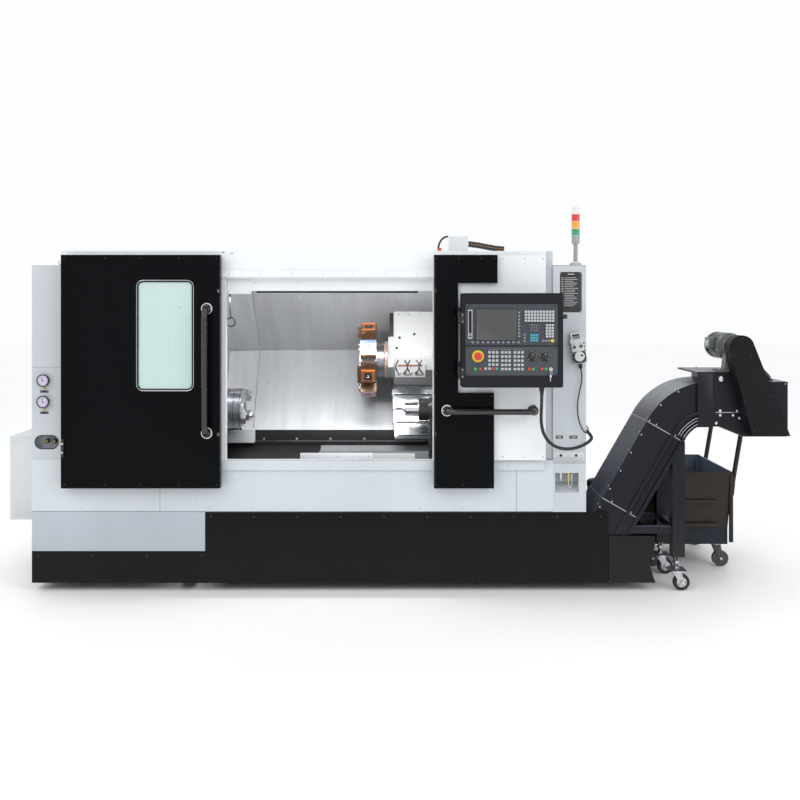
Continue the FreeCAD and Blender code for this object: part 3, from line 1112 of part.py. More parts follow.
def guard_outline(shrink):
    """The chain guard's (x, z) outline: a round top over the motor shaft and a wider foot."""
    r = 68.0 - shrink
    a = radians(21.5)
    b = radians(15.0)
    left_top = V(GEAR_X - r * cos(b), 0, GEAR_Z - r * sin(b))
    right_top = V(GEAR_X + r * cos(a), 0, GEAR_Z + r * sin(a))
    low = HEAD_LOW + 14 + shrink
    left_low = V(left_top.x + (left_top.z - low) * tan(b), 0, low)
    right_low = V(right_top.x + (right_top.z - low) * tan(a), 0, low)
    over = V(GEAR_X - r * sin(radians(4)), 0, GEAR_Z + r * cos(radians(4)))
    return Part.Face(Part.Wire([
        Part.Arc(left_top, over, right_top).toShape(), Part.makeLine(right_top, right_low),
        Part.makeLine(right_low, left_low), Part.makeLine(left_low, left_top),
    ]))


def chain_guard():
    """Folded cover over the drive chain, open at the back."""
    w = 3.0
    outer = guard_outline(0).extrude(V(0, HEAD_Y0 - GUARD_FRONT, 0))
    outer.translate(V(0, GUARD_FRONT, 0))
    inner = guard_outline(w).extrude(V(0, HEAD_Y0 - GUARD_FRONT, 0))
    inner.translate(V(0, GUARD_FRONT + w, 0))
    return outer.cut(inner)


def conveyor_belt():
    """Closed loop of hinged plates: two runs and a half turn at each end."""
    o, t = BELT_GAP, BELT_PLATE / 2
    x0, x1, y0, y1 = CONV_START + 90, DRIVE_X, CONV_Y0 + 40, CONV_Y1 - 40
    upper_z = CONV_BEND2_Z + CONV_R2
    runs = [ribbon(k * o - t, k * o + t, x0, x1, y0, y1) for k in (-1, 1)]
    ends = []
    for x, z, side in ((x0, CONV_LOW_Z, -1), (x1, upper_z, 1)):
        ring = rod_y(x, z, o + t, y0, y1).cut(rod_y(x, z, o - t, y0 - 1, y1 + 1))
        left = x - 200 if side < 0 else x
        half = box(left, left + 200, y0 - 1, y1 + 1, z - 200, z + 200)
        ends.append(ring.common(half))
    return fuse(*runs, *ends)


def conveyor_drive_shaft():
    """Head shaft with the two belt sprockets and the chain sprocket inside the guard."""
    z = CONV_BEND2_Z + CONV_R2
    r = BELT_GAP - BELT_PLATE / 2 - 2 * RUN
    parts = [rod_y(DRIVE_X, z, DRIVE_R, GUARD_FRONT + 30, HEAD_Y1 - 6)]
    parts += [rod_y(DRIVE_X, z, r, y, y + 20) for y in (CONV_Y0 + 50, CONV_Y1 - 70)]
    parts.append(rod_y(DRIVE_X, z, 66, GUARD_FRONT + 47, GUARD_FRONT + 62))
    return fuse(*parts)


def conveyor_legs():
    """Welded stand under the incline: two legs with screw feet, braces and a cross tube."""
    h = LEG_W / 2
    parts = []
    for y in LEG_Y:
        parts.append(box(LEG_X - h, LEG_X + h, y - h, y + h, LEG_LOW, 860))
        parts.append(box(1180, LEG_X - h, y - 20, y + 20, BRACE_Z0, BRACE_Z1))
        parts.append(rod_z(CASTER_X, y, 11, FOOT_Z - 6, LEG_LOW))
        parts.append(rod_z(CASTER_X, y, 18, LEG_LOW - 16, LEG_LOW))
        plate = box(CASTER_X - 46, CASTER_X + 46, y - 40, y + 40, FOOT_Z - 6, FOOT_Z)
        parts.append(plate)
    parts.append(box(LEG_X - 20, LEG_X + 20, LEG_Y[0] + h, LEG_Y[1] - h, BRACE_Z0, BRACE_Z1))
    s, c = sin(radians(CONV_ANGLE)), cos(radians(CONV_ANGLE))
    _, low, top = bend_points()
    reach = 900.0
    above = [
        (low[0] + CONV_H / 2 * s - reach * c, low[1] - CONV_H / 2 * c - reach * s),
        (top[0] + CONV_H / 2 * s + reach * c, top[1] - CONV_H / 2 * c + reach * s),
        (top[0] - reach, top[1] + reach), (low[0] - reach, low[1] - reach),
    ]
    stand = fuse(*parts).cut(prism_y(above, -200, 600))
    kingpins = [rod_z(CASTER_X, y, 8 + RUN, FOOT_Z - 10, FOOT_Z - 1) for y in LEG_Y]
    return stand.cut(Part.makeCompound(kingpins))


def caster_fork(y, x, trail, top, r, width):
    """Swivel fork: a head disc with its kingpin, two cheeks and the axle."""
    gap = width / 2 + 2
    head = rod_z(x, y, 30, top - 8, top)
    cheeks = []
    for side in (-1, 1):
        a, b = (gap, gap + 4) if side > 0 else (-gap - 4, -gap)
        blade = prism_y(
            [(x - 24, top - 8), (x + 26, top - 8), (x + trail + 12, r - 6), (x + trail - 10, r - 8)],
            y + a, y + b,
        )
        cheeks.append(fuse(blade, rod_y(x + trail, r, 12, y + a, y + b)))
    crown = box(x - 24, x + 26, y - gap - 4, y + gap + 4, top - 9, top - 5)
    axle = rod_y(x + trail, r, AXLE_R, y - gap - 4, y + gap + 4)
    return fuse(head, crown, *cheeks, axle)


def leg_fork(y):
    fork = caster_fork(y, CASTER_X, TRAIL, FOOT_Z - 6 - RUN, WHEEL_R, WHEEL_W)
    return fuse(fork, rod_z(CASTER_X, y, 8, FOOT_Z - 7, FOOT_Z - 1 - RUN))


def wheel(x, y, r, width):
    tread = rod_y(x, r, r, y - width / 2, y + width / 2)
    tread = tread.makeFillet(5, [e for e in tread.Edges if e.BoundBox.YLength < 0.01])
    return tread.cut(rod_y(x, r, AXLE_R + RUN, y - width, y + width))


def leg_wheel(y):
    return wheel(CASTER_X + TRAIL, y, WHEEL_R, WHEEL_W)


# ================================================================ chip bin
def bin_tub():
    """Flared sheet tub on a channel frame, with its push handle."""
    def ring(grow, z):
        return Part.makePolygon([
            V(BIN_X0 + grow, BIN_Y0 + grow, z), V(BIN_X1 - grow, BIN_Y0 + grow, z),
            V(BIN_X1 - grow, BIN_Y1 - grow, z),
            V(BIN_X0 + grow, BIN_Y1 - grow, z), V(BIN_X0 + grow, BIN_Y0 + grow, z),
        ])
    tub = Part.makeLoft([ring(BIN_TAPER, BIN_LOW), ring(0, BIN_TOP)], True, True)
    slope = BIN_TAPER / (BIN_TOP - BIN_LOW)
    room = Part.makeLoft(
        [ring(BIN_TAPER + BIN_WALL, BIN_LOW + BIN_WALL), ring(BIN_WALL - slope, BIN_TOP + 1)], True,
        True,
    )
    g = BIN_TAPER
    frame = box(BIN_X0 + g, BIN_X1 - g, BIN_Y0 + g, BIN_Y1 - g, BIN_FRAME, BIN_LOW).cut(
        box(BIN_X0 + g + 6, BIN_X1 - g - 6, BIN_Y0 + g + 6, BIN_Y1 - g - 6, BIN_FRAME + 6, BIN_LOW - 1)
    ).cut(box(BIN_X0 + 110, BIN_X1 - 110, BIN_Y0 + 110, BIN_Y1 - 110, BIN_FRAME - 1, BIN_LOW - 10))
    return fuse(tub.cut(room), frame, *bin_handle())


def bin_handle():
    """Bent tube that leans out at the bin's right end, on a bracket at each foot."""
    (foot_x, foot_z), (top_x, top_z) = BIN_HANDLE_FOOT, BIN_HANDLE_TOP
    y0, y1 = BIN_Y0 + BIN_HANDLE_IN, BIN_Y1 - BIN_HANDLE_IN
    bracket = [
        (BIN_X1 - 12, foot_z - 15), (foot_x + 12, foot_z - 15), (foot_x + 20, foot_z + 60),
        (BIN_X1 - 6.5, foot_z + 60),
    ]
    over = BIN_HANDLE_R + 6
    pieces = [rod_y(top_x, top_z, BIN_HANDLE_R + 1.5, y0 - over, y1 + over)]
    lean = V(top_x - foot_x, 0, top_z - foot_z)
    for y in (y0, y1):
        pieces.append(Part.makeCylinder(BIN_HANDLE_R, lean.Length, V(foot_x, y, foot_z), lean))
        pieces.append(prism_y(bracket, y - BIN_HANDLE_R - 4, y + BIN_HANDLE_R + 4))
    return pieces


def bin_casters():
    """Four casters under the bin's corners."""
    parts = []
    for x in (BIN_X0 + 70, BIN_X1 - 80):
        for y in (BIN_Y0 + 78, BIN_Y1 - 78):
            fork = caster_fork(y, x, TRAIL, BIN_FRAME, WHEEL_R + 2, WHEEL_W)
            tread = rod_y(x + TRAIL, WHEEL_R + 2, WHEEL_R + 2, y - WHEEL_W / 2, y + WHEEL_W / 2)
            parts.append(fuse(fork, tread))
    return Part.makeCompound(parts)


# ================================================================ the whole machine
def nodes():
    """Every sub-part by name, in the machine's drawing position."""
    made = {
        "levelling_feet": levelling_feet(), "plinth": plinth(), "bed": bed(),
        "lower_front_cover": lower_front_cover(), "lower_access_panel": lower_access_panel(),
        "left_end_cover": left_end_cover(), "left_side_box": left_side_box(), "front_frame": front_frame(),
        "rear_roof_cover": rear_roof_cover(), "right_column": right_column(),
        "chamber_liner": chamber_liner(),
        "headstock": headstock(), "spindle": spindle(), "chuck_body": chuck_body(),
        "spindle_motor": spindle_motor(), "motor_pulley": motor_pulley(), "drive_belt": drive_belt(),
        "saddle": saddle(), "way_covers": way_covers(), "turret_housing": turret_housing(),
        "turret_disc": turret_disc(), "tool_holders": tool_holders(), "z_ballscrew": z_ballscrew(),
        "tailstock_body": tailstock_body(), "tailstock_quill": tailstock_quill(),
        "left_door_panel": left_door_panel(), "left_door_glass": left_door_glass(),
        "left_door_handle": left_door_handle(), "right_door_panel": right_door_panel(),
        "right_door_skin": right_door_skin(), "right_door_handle": right_door_handle(),
        "panel_box": panel_box(), "panel_face": panel_face(), "estop_button": estop_button(),
        "feed_knob": switch_knob(KNOB_X[0]), "spindle_knob": switch_knob(KNOB_X[1]),
        "pendant_body": pendant_body(), "pendant_dial": pendant_turner(0, DIAL_Z, DIAL_R, DIAL_H),
        "pendant_axis_knob": pendant_turner(
            -PENDANT_KNOB_X, PENDANT_KNOB_Z, PENDANT_KNOB_R, PENDANT_KNOB_H,
        ),
        "pendant_rate_knob": pendant_turner(PENDANT_KNOB_X, PENDANT_KNOB_Z, PENDANT_KNOB_R, PENDANT_KNOB_H),
        "stack_light": stack_light(), "coolant_tank": coolant_tank(), "conveyor_body": conveyor_body(),
        "conveyor_head": conveyor_head(), "conveyor_motor": conveyor_motor(), "chain_guard": chain_guard(),
        "conveyor_belt": conveyor_belt(), "conveyor_drive_shaft": conveyor_drive_shaft(),
        "conveyor_legs": conveyor_legs(), "bin_tub": bin_tub(), "bin_casters": bin_casters(),
        "panel_conduit": cord(CONDUIT_ROUTE, CONDUIT_R), "pendant_lead": cord(LEAD_ROUTE, LEAD_R),
    }
    for i in range(3):
        made[f"chuck_jaw_{i + 1}"] = chuck_jaw(120 * i)
    for name, y in zip(("front", "rear"), LEG_Y):
        made[f"leg_fork_{name}"] = leg_fork(y)
        made[f"leg_wheel_{name}"] = leg_wheel(y)
    return made


CORDS = ("panel_conduit", "pendant_lead")


def origin_shift(made):
    """The move that puts the origin at the bottom centre of everything but the cords."""
    whole = Part.makeCompound([s for n, s in made.items() if n not in CORDS]).optimalBoundingBox(False, False)
    return V(-(whole.XMin + whole.XMax) / 2, -(whole.YMin + whole.YMax) / 2, -whole.ZMin)


def main():
    os.makedirs("parts", exist_ok=True)
    made = nodes()
    shift = origin_shift(made)
    for name, shape in sorted(made.items()):
        placed = shape.copy()
        placed.translate(shift)
        placed.exportStep(f"parts/{name}.step")
    print("nodes", len(made), "shift", [round(x, 3) for x in shift])


if __name__ == "__main__":
    main()
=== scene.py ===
"""CNC turning lathe: finishes, fittings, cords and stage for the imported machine.

Places are given in millimetres from the machine's drawing datum: the middle of the covers' front face at
floor level, +X to the operator's right, +Y into the machine, +Z up. The datum is read from the plinth.
"""
import itertools
import math

import bpy
import numpy as np
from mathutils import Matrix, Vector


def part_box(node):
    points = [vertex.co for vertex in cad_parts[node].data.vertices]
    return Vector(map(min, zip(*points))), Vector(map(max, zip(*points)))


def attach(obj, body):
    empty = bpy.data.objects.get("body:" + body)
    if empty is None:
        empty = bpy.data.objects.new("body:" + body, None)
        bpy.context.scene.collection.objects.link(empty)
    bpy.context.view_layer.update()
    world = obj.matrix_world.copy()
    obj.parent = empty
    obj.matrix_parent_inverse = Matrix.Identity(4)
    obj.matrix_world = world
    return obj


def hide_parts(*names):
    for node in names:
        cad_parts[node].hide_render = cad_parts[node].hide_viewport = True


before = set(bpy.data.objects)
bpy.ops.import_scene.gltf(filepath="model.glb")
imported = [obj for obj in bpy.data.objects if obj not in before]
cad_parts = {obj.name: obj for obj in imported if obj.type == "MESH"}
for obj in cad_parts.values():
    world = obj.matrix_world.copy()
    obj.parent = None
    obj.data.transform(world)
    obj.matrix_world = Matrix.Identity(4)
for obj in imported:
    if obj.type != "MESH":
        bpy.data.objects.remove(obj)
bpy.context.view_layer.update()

bl_info = {
    "name": "CNC turning lathe",
    "version": (1, 0, 0),
    "blender": (4, 5, 0),
    "location": "3D View > Sidebar > Lathe",
    "description": "Finishes, fittings, cords and stage of a slant-bed turning lathe",
    "category": "Object",
}

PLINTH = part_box("plinth")
DATUM = np.array([PLINTH[1][0] - 1.144, PLINTH[0][1], 0.0])

# faces that a fitting can sit on: its own right, its own up, and outwards
X, Y, Z = np.eye(3)
FRONT, BACK = (X, Z, -Y), (-X, Z, Y)
LEFT, RIGHT = (-Y, Z, -X), (Y, Z, X)
TOP, UNDER = (X, Y, Z), (X, -Y, -Z)


def node_box(node):
    """Lowest and highest corners of a CAD node, in millimetres from the datum."""
    low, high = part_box(node)
    return (np.array(low) - DATUM) * 1000, (np.array(high) - DATUM) * 1000


def turned_face(face, angle):
    """A face whose right and up are turned by an angle, in degrees, about its outward axis."""
    c, s = math.cos(math.radians(angle)), math.sin(math.radians(angle))
    u, v, n = face
    return (u * c + v * s, v * c - u * s, n)


def round_centre(at, face, r, degrees):
    """A place at an angle round a centre, from a face's right towards its up."""
    a = math.radians(degrees)
    return np.asarray(at, float) + r * (math.cos(a) * face[0] + math.sin(a) * face[1])


def front_middle(node):
    """Middle of the front of a CAD node's box."""
    low, high = node_box(node)
    return np.array([(low[0] + high[0]) / 2, low[1], (low[2] + high[2]) / 2])


def hoop(at, a, b, count):
    """Places round a closed loop: at + a sin t + b cos t."""
    t = np.arange(count)[:, None] * 2 * np.pi / count
    return np.asarray(at, float) + np.sin(t) * a + np.cos(t) * b


# ================================================================ surfaces
def rect(w, h, r=0.0, steps=3):
    """Rounded rectangle: four quarter circles of radius r about the corners of a smaller rectangle.

    Gives a function of how far the outline is drawn in from its full size.
    """
    def ring(inset):
        a, b = w / 2 - inset, h / 2 - inset
        c = min(max(r - inset, 0.02 if r else 0.0), a, b)
        if not r:
            return np.array([[a, -b], [a, b], [-a, b], [-a, -b]])
        t = np.linspace(0, np.pi / 2, steps + 1)
        turn = np.concatenate([t - np.pi / 2, t, t + np.pi / 2, t + np.pi])
        mid = np.repeat([[a - c, c - b], [a - c, b - c], [c - a, b - c], [c - a, c - b]], steps + 1, axis=0)
        return mid + c * np.stack([np.cos(turn), np.sin(turn)], axis=1)
    return ring


def disc(r, n=24, phase=0.0):
    """Circle of n steps; with six it is a nut. Gives a function of how far it is drawn in."""
    def ring(inset):
        t = np.arange(n) * 2 * np.pi / n + phase
        return (r - inset) * np.stack([np.cos(t), np.sin(t)], axis=1)
    return ring


def lobed(r, lobes, depth, n=96):
    """Circle whose radius waves by depth, lobes times round. Gives a function of how far it is drawn in."""
    def ring(inset):
        t = np.arange(n) * 2 * np.pi / n
        rad = r - inset - depth * (0.5 - 0.5 * np.cos(lobes * t))
        return rad[:, None] * np.stack([np.cos(t), np.sin(t)], axis=1)
    return ring


def grid_faces(rows, cols, rows_close=False):
    """Quads between neighbouring rows of a grid whose columns close on themselves."""
    i, j = np.meshgrid(np.arange(rows if rows_close else rows - 1), np.arange(cols), indexing="ij")
    k, l = (j + 1) % cols, (i + 1) % rows
    return np.stack([i * cols + j, i * cols + k, l * cols + k, l * cols + j], -1).reshape(-1, 4)


class Piece:
    """Surfaces gathered into one mesh, each with its own finish, riding on one body."""

    def __init__(self, name, body="machine"):
        self.name, self.body = name, body
        self.points, self.faces, self.marks, self.finishes, self.count = [], [], [], [], 0

    def add(self, finish, points, faces):
        """Points (n, 3) in millimetres from the datum, and faces as lists of their numbers."""
        if finish not in self.finishes:
            self.finishes.append(finish)
        self.points.append(points)
        self.faces += [[k + self.count for k in f] for f in faces]
        self.marks += [self.finishes.index(finish)] * len(faces)
        self.count += len(points)

    def loft(self, finish, face, at, rings, heights):
        """Closed outlines, one above another along the face's outward axis, with both ends closed."""
        u, v, n = face
        flat = np.concatenate(rings)
        up = np.repeat(heights, len(rings[0]))
        cols = len(rings[0])
        points = np.asarray(at, float) + flat[:, :1] * u + flat[:, 1:] * v + up[:, None] * n
        faces = grid_faces(len(rings), cols).tolist()
        last = (len(rings) - 1) * cols
        faces += [list(range(cols - 1, -1, -1)), list(range(last, last + cols))]
        self.add(finish, points, faces)

    def form(self, finish, face, at, outline, profile):
        """An outline carried up a profile of (drawn in, height) pairs."""
        self.loft(finish, face, at, [outline(inset) for inset, _ in profile], [h for _, h in profile])

    def plate(self, finish, face, at, w, h, t, r=2.0, edge=0.8):
        """Plate with rounded corners and a rounded front edge; its back is at the place given."""
        e = min(edge, t * 0.45)
        self.form(finish, face, at, rect(w, h, r), [(0, -0.5), (0, t - e), (0.3 * e, t - 0.3 * e), (e, t)])

    def turn(self, finish, face, at, profile, n=24):
        """Lathe shape: circles of (radius, height) about the face's outward axis."""
        self.loft(finish, face, at, [disc(max(r, 0.02), n)(0) for r, _ in profile], [h for _, h in profile])

    def ring(self, finish, face, at, profile, n=48, lobes=0, depth=0.0):
        """Open ring: a closed profile of (radius, height) swept round, r + depth cos(lobes t)."""
        u, v, out = face
        t = np.arange(n)[:, None] * 2 * np.pi / n
        r, h = np.array(profile, float).T
        r = r[None] + depth * np.cos(lobes * t)
        points = np.asarray(at, float) + (r * np.cos(t))[..., None] * u + (r * np.sin(t))[..., None] * v
        points = points + np.broadcast_to(h, r.shape)[..., None] * out
        self.add(finish, points.reshape(-1, 3), grid_faces(n, len(profile), True)[:, ::-1].tolist())

    def screw(self, finish, face, at, r=4.0, h=3.0):
        """Cap screw with a round socket in its head."""
        self.turn(
            finish, face, at, [(r, -0.5), (r, 0.75 * h), (0.85 * r, h), (0.5 * r, h), (0.42 * r, 0.4 * h)], 10,
        )

    def bolt(self, finish, face, at, r=7.0, h=5.0):
        """Hexagon head on a washer."""
        self.turn(finish, face, at, [(1.35 * r, -0.5), (1.35 * r, 0.2 * h), (1.2 * r, 0.28 * h)], 14)
        self.form(finish, face, at, disc(r, 6, 0.3), [(0, 0.2 * h), (0, 0.9 * h), (0.14 * r, h)])

    def nut(self, finish, face, at, r, low, high):
        """Hexagon from one height to another, with a 1 mm bevel at both ends."""
        self.form(finish, face, at, disc(r, 6), [(1, low), (0, low + 1), (0, high - 1), (1, high)])

    def screws(self, finish, face, xs, ys, zs, r=4.0, h=3.0):
        """A cap screw at every meeting of the x, y and z given."""
        for at in itertools.product(*map(np.atleast_1d, (xs, ys, zs))):
            self.screw(finish, face, at, r, h)

    def bolts(self, finish, face, xs, ys, zs, r=7.0, h=5.0):
        """A hexagon bolt at every meeting of the x, y and z given."""
        for at in itertools.product(*map(np.atleast_1d, (xs, ys, zs))):
            self.bolt(finish, face, at, r, h)

    def tube(self, finish, path, r, n=10, side=(0, 0, 1), closed=False):
        """Circles of radius r, or one radius for each point, carried along a path."""
        path = np.asarray(path, float)
        run = np.roll(path, -1, 0) - np.roll(path, 1, 0) if closed else np.gradient(path, axis=0)
        run /= np.linalg.norm(run, axis=1)[:, None]
        a = np.cross(run, np.asarray(side, float))
        a /= np.linalg.norm(a, axis=1)[:, None]
        b = np.cross(run, a)
        t = np.arange(n) * 2 * np.pi / n
        rad = np.broadcast_to(r, len(path))[:, None, None]
        round_ = a[:, None] * np.cos(t)[None, :, None] + b[:, None] * np.sin(t)[None, :, None]
        points = (path[:, None] + rad * round_).reshape(-1, 3)
        faces = grid_faces(len(path), n, closed).tolist()
        if not closed:
            last = (len(path) - 1) * n
            faces += [list(range(n - 1, -1, -1)), list(range(last, last + n))]
        self.add(finish, points, faces)

    def bar(self, finish, outline, u, v, path):
        """An outline of (u, v) points carried along a straight or bent path, kept level."""
        path, flat = np.asarray(path, float), np.asarray(outline, float)
        points = (path[:, None] + flat[None, :, :1] * u + flat[None, :, 1:] * v).reshape(-1, 3)
        cols, rows = len(flat), len(path)
        faces = grid_faces(rows, cols).tolist()
        faces += [list(range(cols - 1, -1, -1)), list(range((rows - 1) * cols, rows * cols))]
        self.add(finish, points, faces)

    def done(self, slot=None, angle=32):
        """Makes the object, shades it smooth up to an angle between faces, and sets it riding."""
        mesh = bpy.data.meshes.new(self.name)
        points = np.concatenate(self.points) / 1000 + DATUM
        mesh.from_pydata(points.tolist(), [], self.faces)
        for name in self.finishes:
            mesh.materials.append(bpy.data.materials[name])
        mesh.polygons.foreach_set("material_index", np.array(self.marks, np.int32))
        mesh.shade_smooth()
        mesh.set_sharp_from_angle(angle=math.radians(angle))
        obj = bpy.data.objects.new(self.name, mesh)
        bpy.context.scene.collection.objects.link(obj)
        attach(obj, self.body)
        return obj


# ================================================================ finishes
class Wire:
    """A value on its way through a finish's nodes; arithmetic on it adds Math nodes."""

    def __init__(self, finish, socket):
        self.finish, self.socket = finish, socket

    def maths(self, operation, *values, clamp=False):
        return self.finish.add("ShaderNodeMath", dict(operation=operation, use_clamp=clamp), *values)

    def __add__(self, other):
        return self.maths("ADD", self, other)

    def __sub__(self, other):
        return self.maths("SUBTRACT", self, other)

    def __rsub__(self, other):
        return self.maths("SUBTRACT", other, self)

    def __mul__(self, other):
        return self.maths("MULTIPLY", self, other)

    def __truediv__(self, other):
        return self.maths("DIVIDE", self, other)

    def __pow__(self, other):
        return self.maths("POWER", self, other)

    __radd__, __rmul__ = __add__, __mul__

    def over(self, edge):
        """1 where the value is above the edge."""
        return self.maths("GREATER_THAN", self, edge)

    def under(self, edge):
        return self.maths("LESS_THAN", self, edge)

    def held(self):
        """The value kept from 0 to 1."""
        return self.maths("ADD", self, 0.0, clamp=True)

    def wave(self):
        return self.maths("SINE", self)


class Finish:
    """A material under the hand: one method adds every node."""

    def __init__(self, name, colour=(0.5, 0.5, 0.5), rough=0.5, metal=0.0, **fixed):
        self.material = bpy.data.materials.new(name)
        self.material.use_nodes = True
        self.tree = self.material.node_tree
        self.shader = self.tree.nodes["Principled BSDF"]
        self.base = (*colour, 1.0)
        self.set("Base Color", self.base)
        self.set("Roughness", rough)
        self.set("Metallic", metal)
        for key, value in fixed.items():
            self.set(key.replace("_", " ").title().replace("Ior", "IOR"), value)

    def add(self, kind, settings=None, *inputs, out=0, **named):
        """A node with its settings made first, then its inputs in order or by name; gives one output."""
        node = self.tree.nodes.new(kind)
        for key, value in (settings or {}).items():
            if key == "stops":
                ramp = node.color_ramp
                while len(ramp.elements) < len(value):
                    ramp.elements.new(0.5)
                for stop, (place, colour) in zip(ramp.elements, value):
                    stop.position, stop.color = place, colour
            else:
                setattr(node, key, value)
        for place, value in [*enumerate(inputs), *named.items()]:
            socket = node.inputs[place if isinstance(place, int) else place.replace("_", " ")]
            if isinstance(value, Wire):
                self.tree.links.new(value.socket, socket)
            else:
                socket.default_value = value
        return Wire(self, node.outputs[out])

    def set(self, name, value):
        if isinstance(value, Wire):
            self.tree.links.new(value.socket, self.shader.inputs[name])
        else:
            self.shader.inputs[name].default_value = value

    def place(self, scale=(1, 1, 1), turn=(0, 0, 0)):
        """Where the surface is, in metres, stretched and turned."""
        at = self.add("ShaderNodeTexCoord", out=3)
        if tuple(scale) == (1, 1, 1) and tuple(turn) == (0, 0, 0):
            return at
        return self.add("ShaderNodeMapping", None, at, Rotation=turn, Scale=scale)

    def noise(self, scale, detail=2.0, stretch=(1, 1, 1), turn=(0, 0, 0), rough=0.5):
        return self.add(
            "ShaderNodeTexNoise", None, Vector=self.place(stretch, turn), Scale=scale, Detail=detail,
            Roughness=rough,
        )

    def axis(self, k):
        """One coordinate of the place, in metres."""
        return self.add("ShaderNodeSeparateXYZ", None, self.place(), out=k)

    def mix(self, factor, a, b):
        """Colour a turned into colour b by the factor."""
        first = a if isinstance(a, Wire) else (*a[:3], 1.0)
        second = b if isinstance(b, Wire) else (*b[:3], 1.0)
        node = self.tree.nodes.new("ShaderNodeMix")
        node.data_type = "RGBA"
        for socket, value in ((node.inputs[0], factor), (node.inputs[6], first), (node.inputs[7], second)):
            if isinstance(value, Wire):
                self.tree.links.new(value.socket, socket)
            else:
                socket.default_value = value
        return Wire(self, node.outputs[2])

    def bump(self, height, depth, strength=1.0):
        self.set("Normal", self.add("ShaderNodeBump", None, Strength=strength, Distance=depth, Height=height))


def dim(colour, k):
    return tuple(min(1.0, c * k) for c in colour[:3])


def paint(name, colour, rough=0.35, peel=0.00012, cloud=0.12, grime=0.25, coat=0.15, shine=0.5):
    """Stoved paint: broad clouds of tone, orange peel, wipe marks in the gloss and dust low down."""
    f = Finish(name, colour, rough, coat_weight=coat, coat_roughness=0.15, specular_ior_level=shine)
    cloudy = f.mix(f.noise(2.2, 3.0, (1, 1, 0.45)), dim(colour, 1 - cloud), dim(colour, 1 + cloud))
    specks = (f.noise(55.0, 3.0, rough=0.7) - 0.62).held() * 2.0
    low = (1.0 - f.axis(2) * 2.2).held() * grime
    dusty = f.mix((low + specks * 0.12 * grime).held(), cloudy, (0.21, 0.19, 0.165))
    f.set("Base Color", dusty)
    wiped = f.noise(6.0, 4.0, (3.0, 3.0, 0.5), rough=0.65)
    f.set("Roughness", (wiped * 0.22 + (rough - 0.11)).held())
    f.bump(f.noise(420.0, 2.0), peel, 0.6)
    return f


def brushed(name, colour, stretch=(1, 1, 1), rough=0.3, grain=260.0, depth=0.00005, tarnish=0.18, metal=1.0):
    """Ground or brushed metal: long fine scratches one way, soft stains, and gloss that follows them."""
    f = Finish(name, colour, rough, metal)
    lines = f.noise(grain, 3.0, stretch, rough=0.6)
    stain = f.noise(9.0, 4.0, rough=0.6)
    toned = f.mix(stain, dim(colour, 1 - tarnish), dim(colour, 1 + tarnish))
    f.set("Base Color", f.mix((lines - 0.35).held() * 0.5, toned, dim(colour, 0.62)))
    f.set("Roughness", (lines * 0.22 + stain * 0.16 + (rough - 0.17)).held())
    f.bump(lines, depth, 0.5)
    return f


def turned(name, colour, axis_y, axis_z, rough=0.22, pitch=0.0009):
    """Turned steel: fine rings about the spindle's axis, with a polish that changes round it."""
    f = Finish(name, colour, rough, 1.0)
    y, z = f.axis(1) - axis_y, f.axis(2) - axis_z
    rings = ((y * y + z * z) ** 0.5 * (6.2832 / pitch) + f.axis(0) * (6.2832 / pitch)).wave() * 0.5 + 0.5
    stain = f.noise(14.0, 4.0)
    f.set("Base Color", f.mix(stain, dim(colour, 0.8), dim(colour, 1.12)))
    f.set("Roughness", (stain * 0.2 + rings * 0.08 + (rough - 0.1)).held())
    f.bump(rings * 0.6 + f.noise(300.0, 2.0) * 0.4, 0.00004, 0.5)
    return f


def casting(name, colour, rough=0.5):
    """Painted casting: a lumpy skin under the paint, chips of darker metal and oil in the hollows."""
    f = Finish(name, colour, rough, coat_weight=0.1)
    lumps = f.noise(38.0, 4.0, rough=0.6)
    chips = (f.noise(90.0, 5.0, rough=0.75) - 0.68).held() * 8.0
    toned = f.mix(f.noise(4.0, 3.0), dim(colour, 0.82), dim(colour, 1.1))
    f.set("Base Color", f.mix(chips.held(), toned, (0.05, 0.045, 0.04)))
    f.set("Roughness", (lumps * 0.3 + (rough - 0.15)).held())
    f.bump(lumps, 0.0012, 0.5)
    return f


def moulded(name, colour, rough=0.45, grain=700.0, depth=0.00006, **fixed):
    """Moulded plastic or rubber: a fine even grain, with handling marks in the gloss."""
    f = Finish(name, colour, rough, **fixed)
    worn = f.noise(22.0, 4.0, rough=0.6)
    f.set("Base Color", f.mix(worn, dim(colour, 0.86), dim(colour, 1.12)))
    f.set("Roughness", (worn * 0.2 + (rough - 0.1)).held())
    f.bump(f.noise(grain, 2.0), depth, 0.6)
    return f


def gloss_door(name, colour):
    """Black lacquer: deep coat, faint swirls from wiping and a fine dust that shows on dark paint."""
    f = Finish(name, colour, 0.2, coat_weight=0.02, coat_roughness=0.05, specular_ior_level=0.05)
    pale_wash = (f.noise(150.0, 4.0, rough=0.75) - 0.6).held() * 0.3
    broad = f.noise(1.4, 2.0, (1, 1, 0.2))
    f.set("Base Color", f.mix(pale_wash + broad * 0.06, colour, (0.035, 0.043, 0.055)))
    f.set("Roughness", (f.noise(11.0, 5.0, (1, 1, 3), rough=0.7) * 0.18 + 0.07).held())
    f.bump(f.noise(120.0, 1.0), 0.00006, 0.35)
    return f


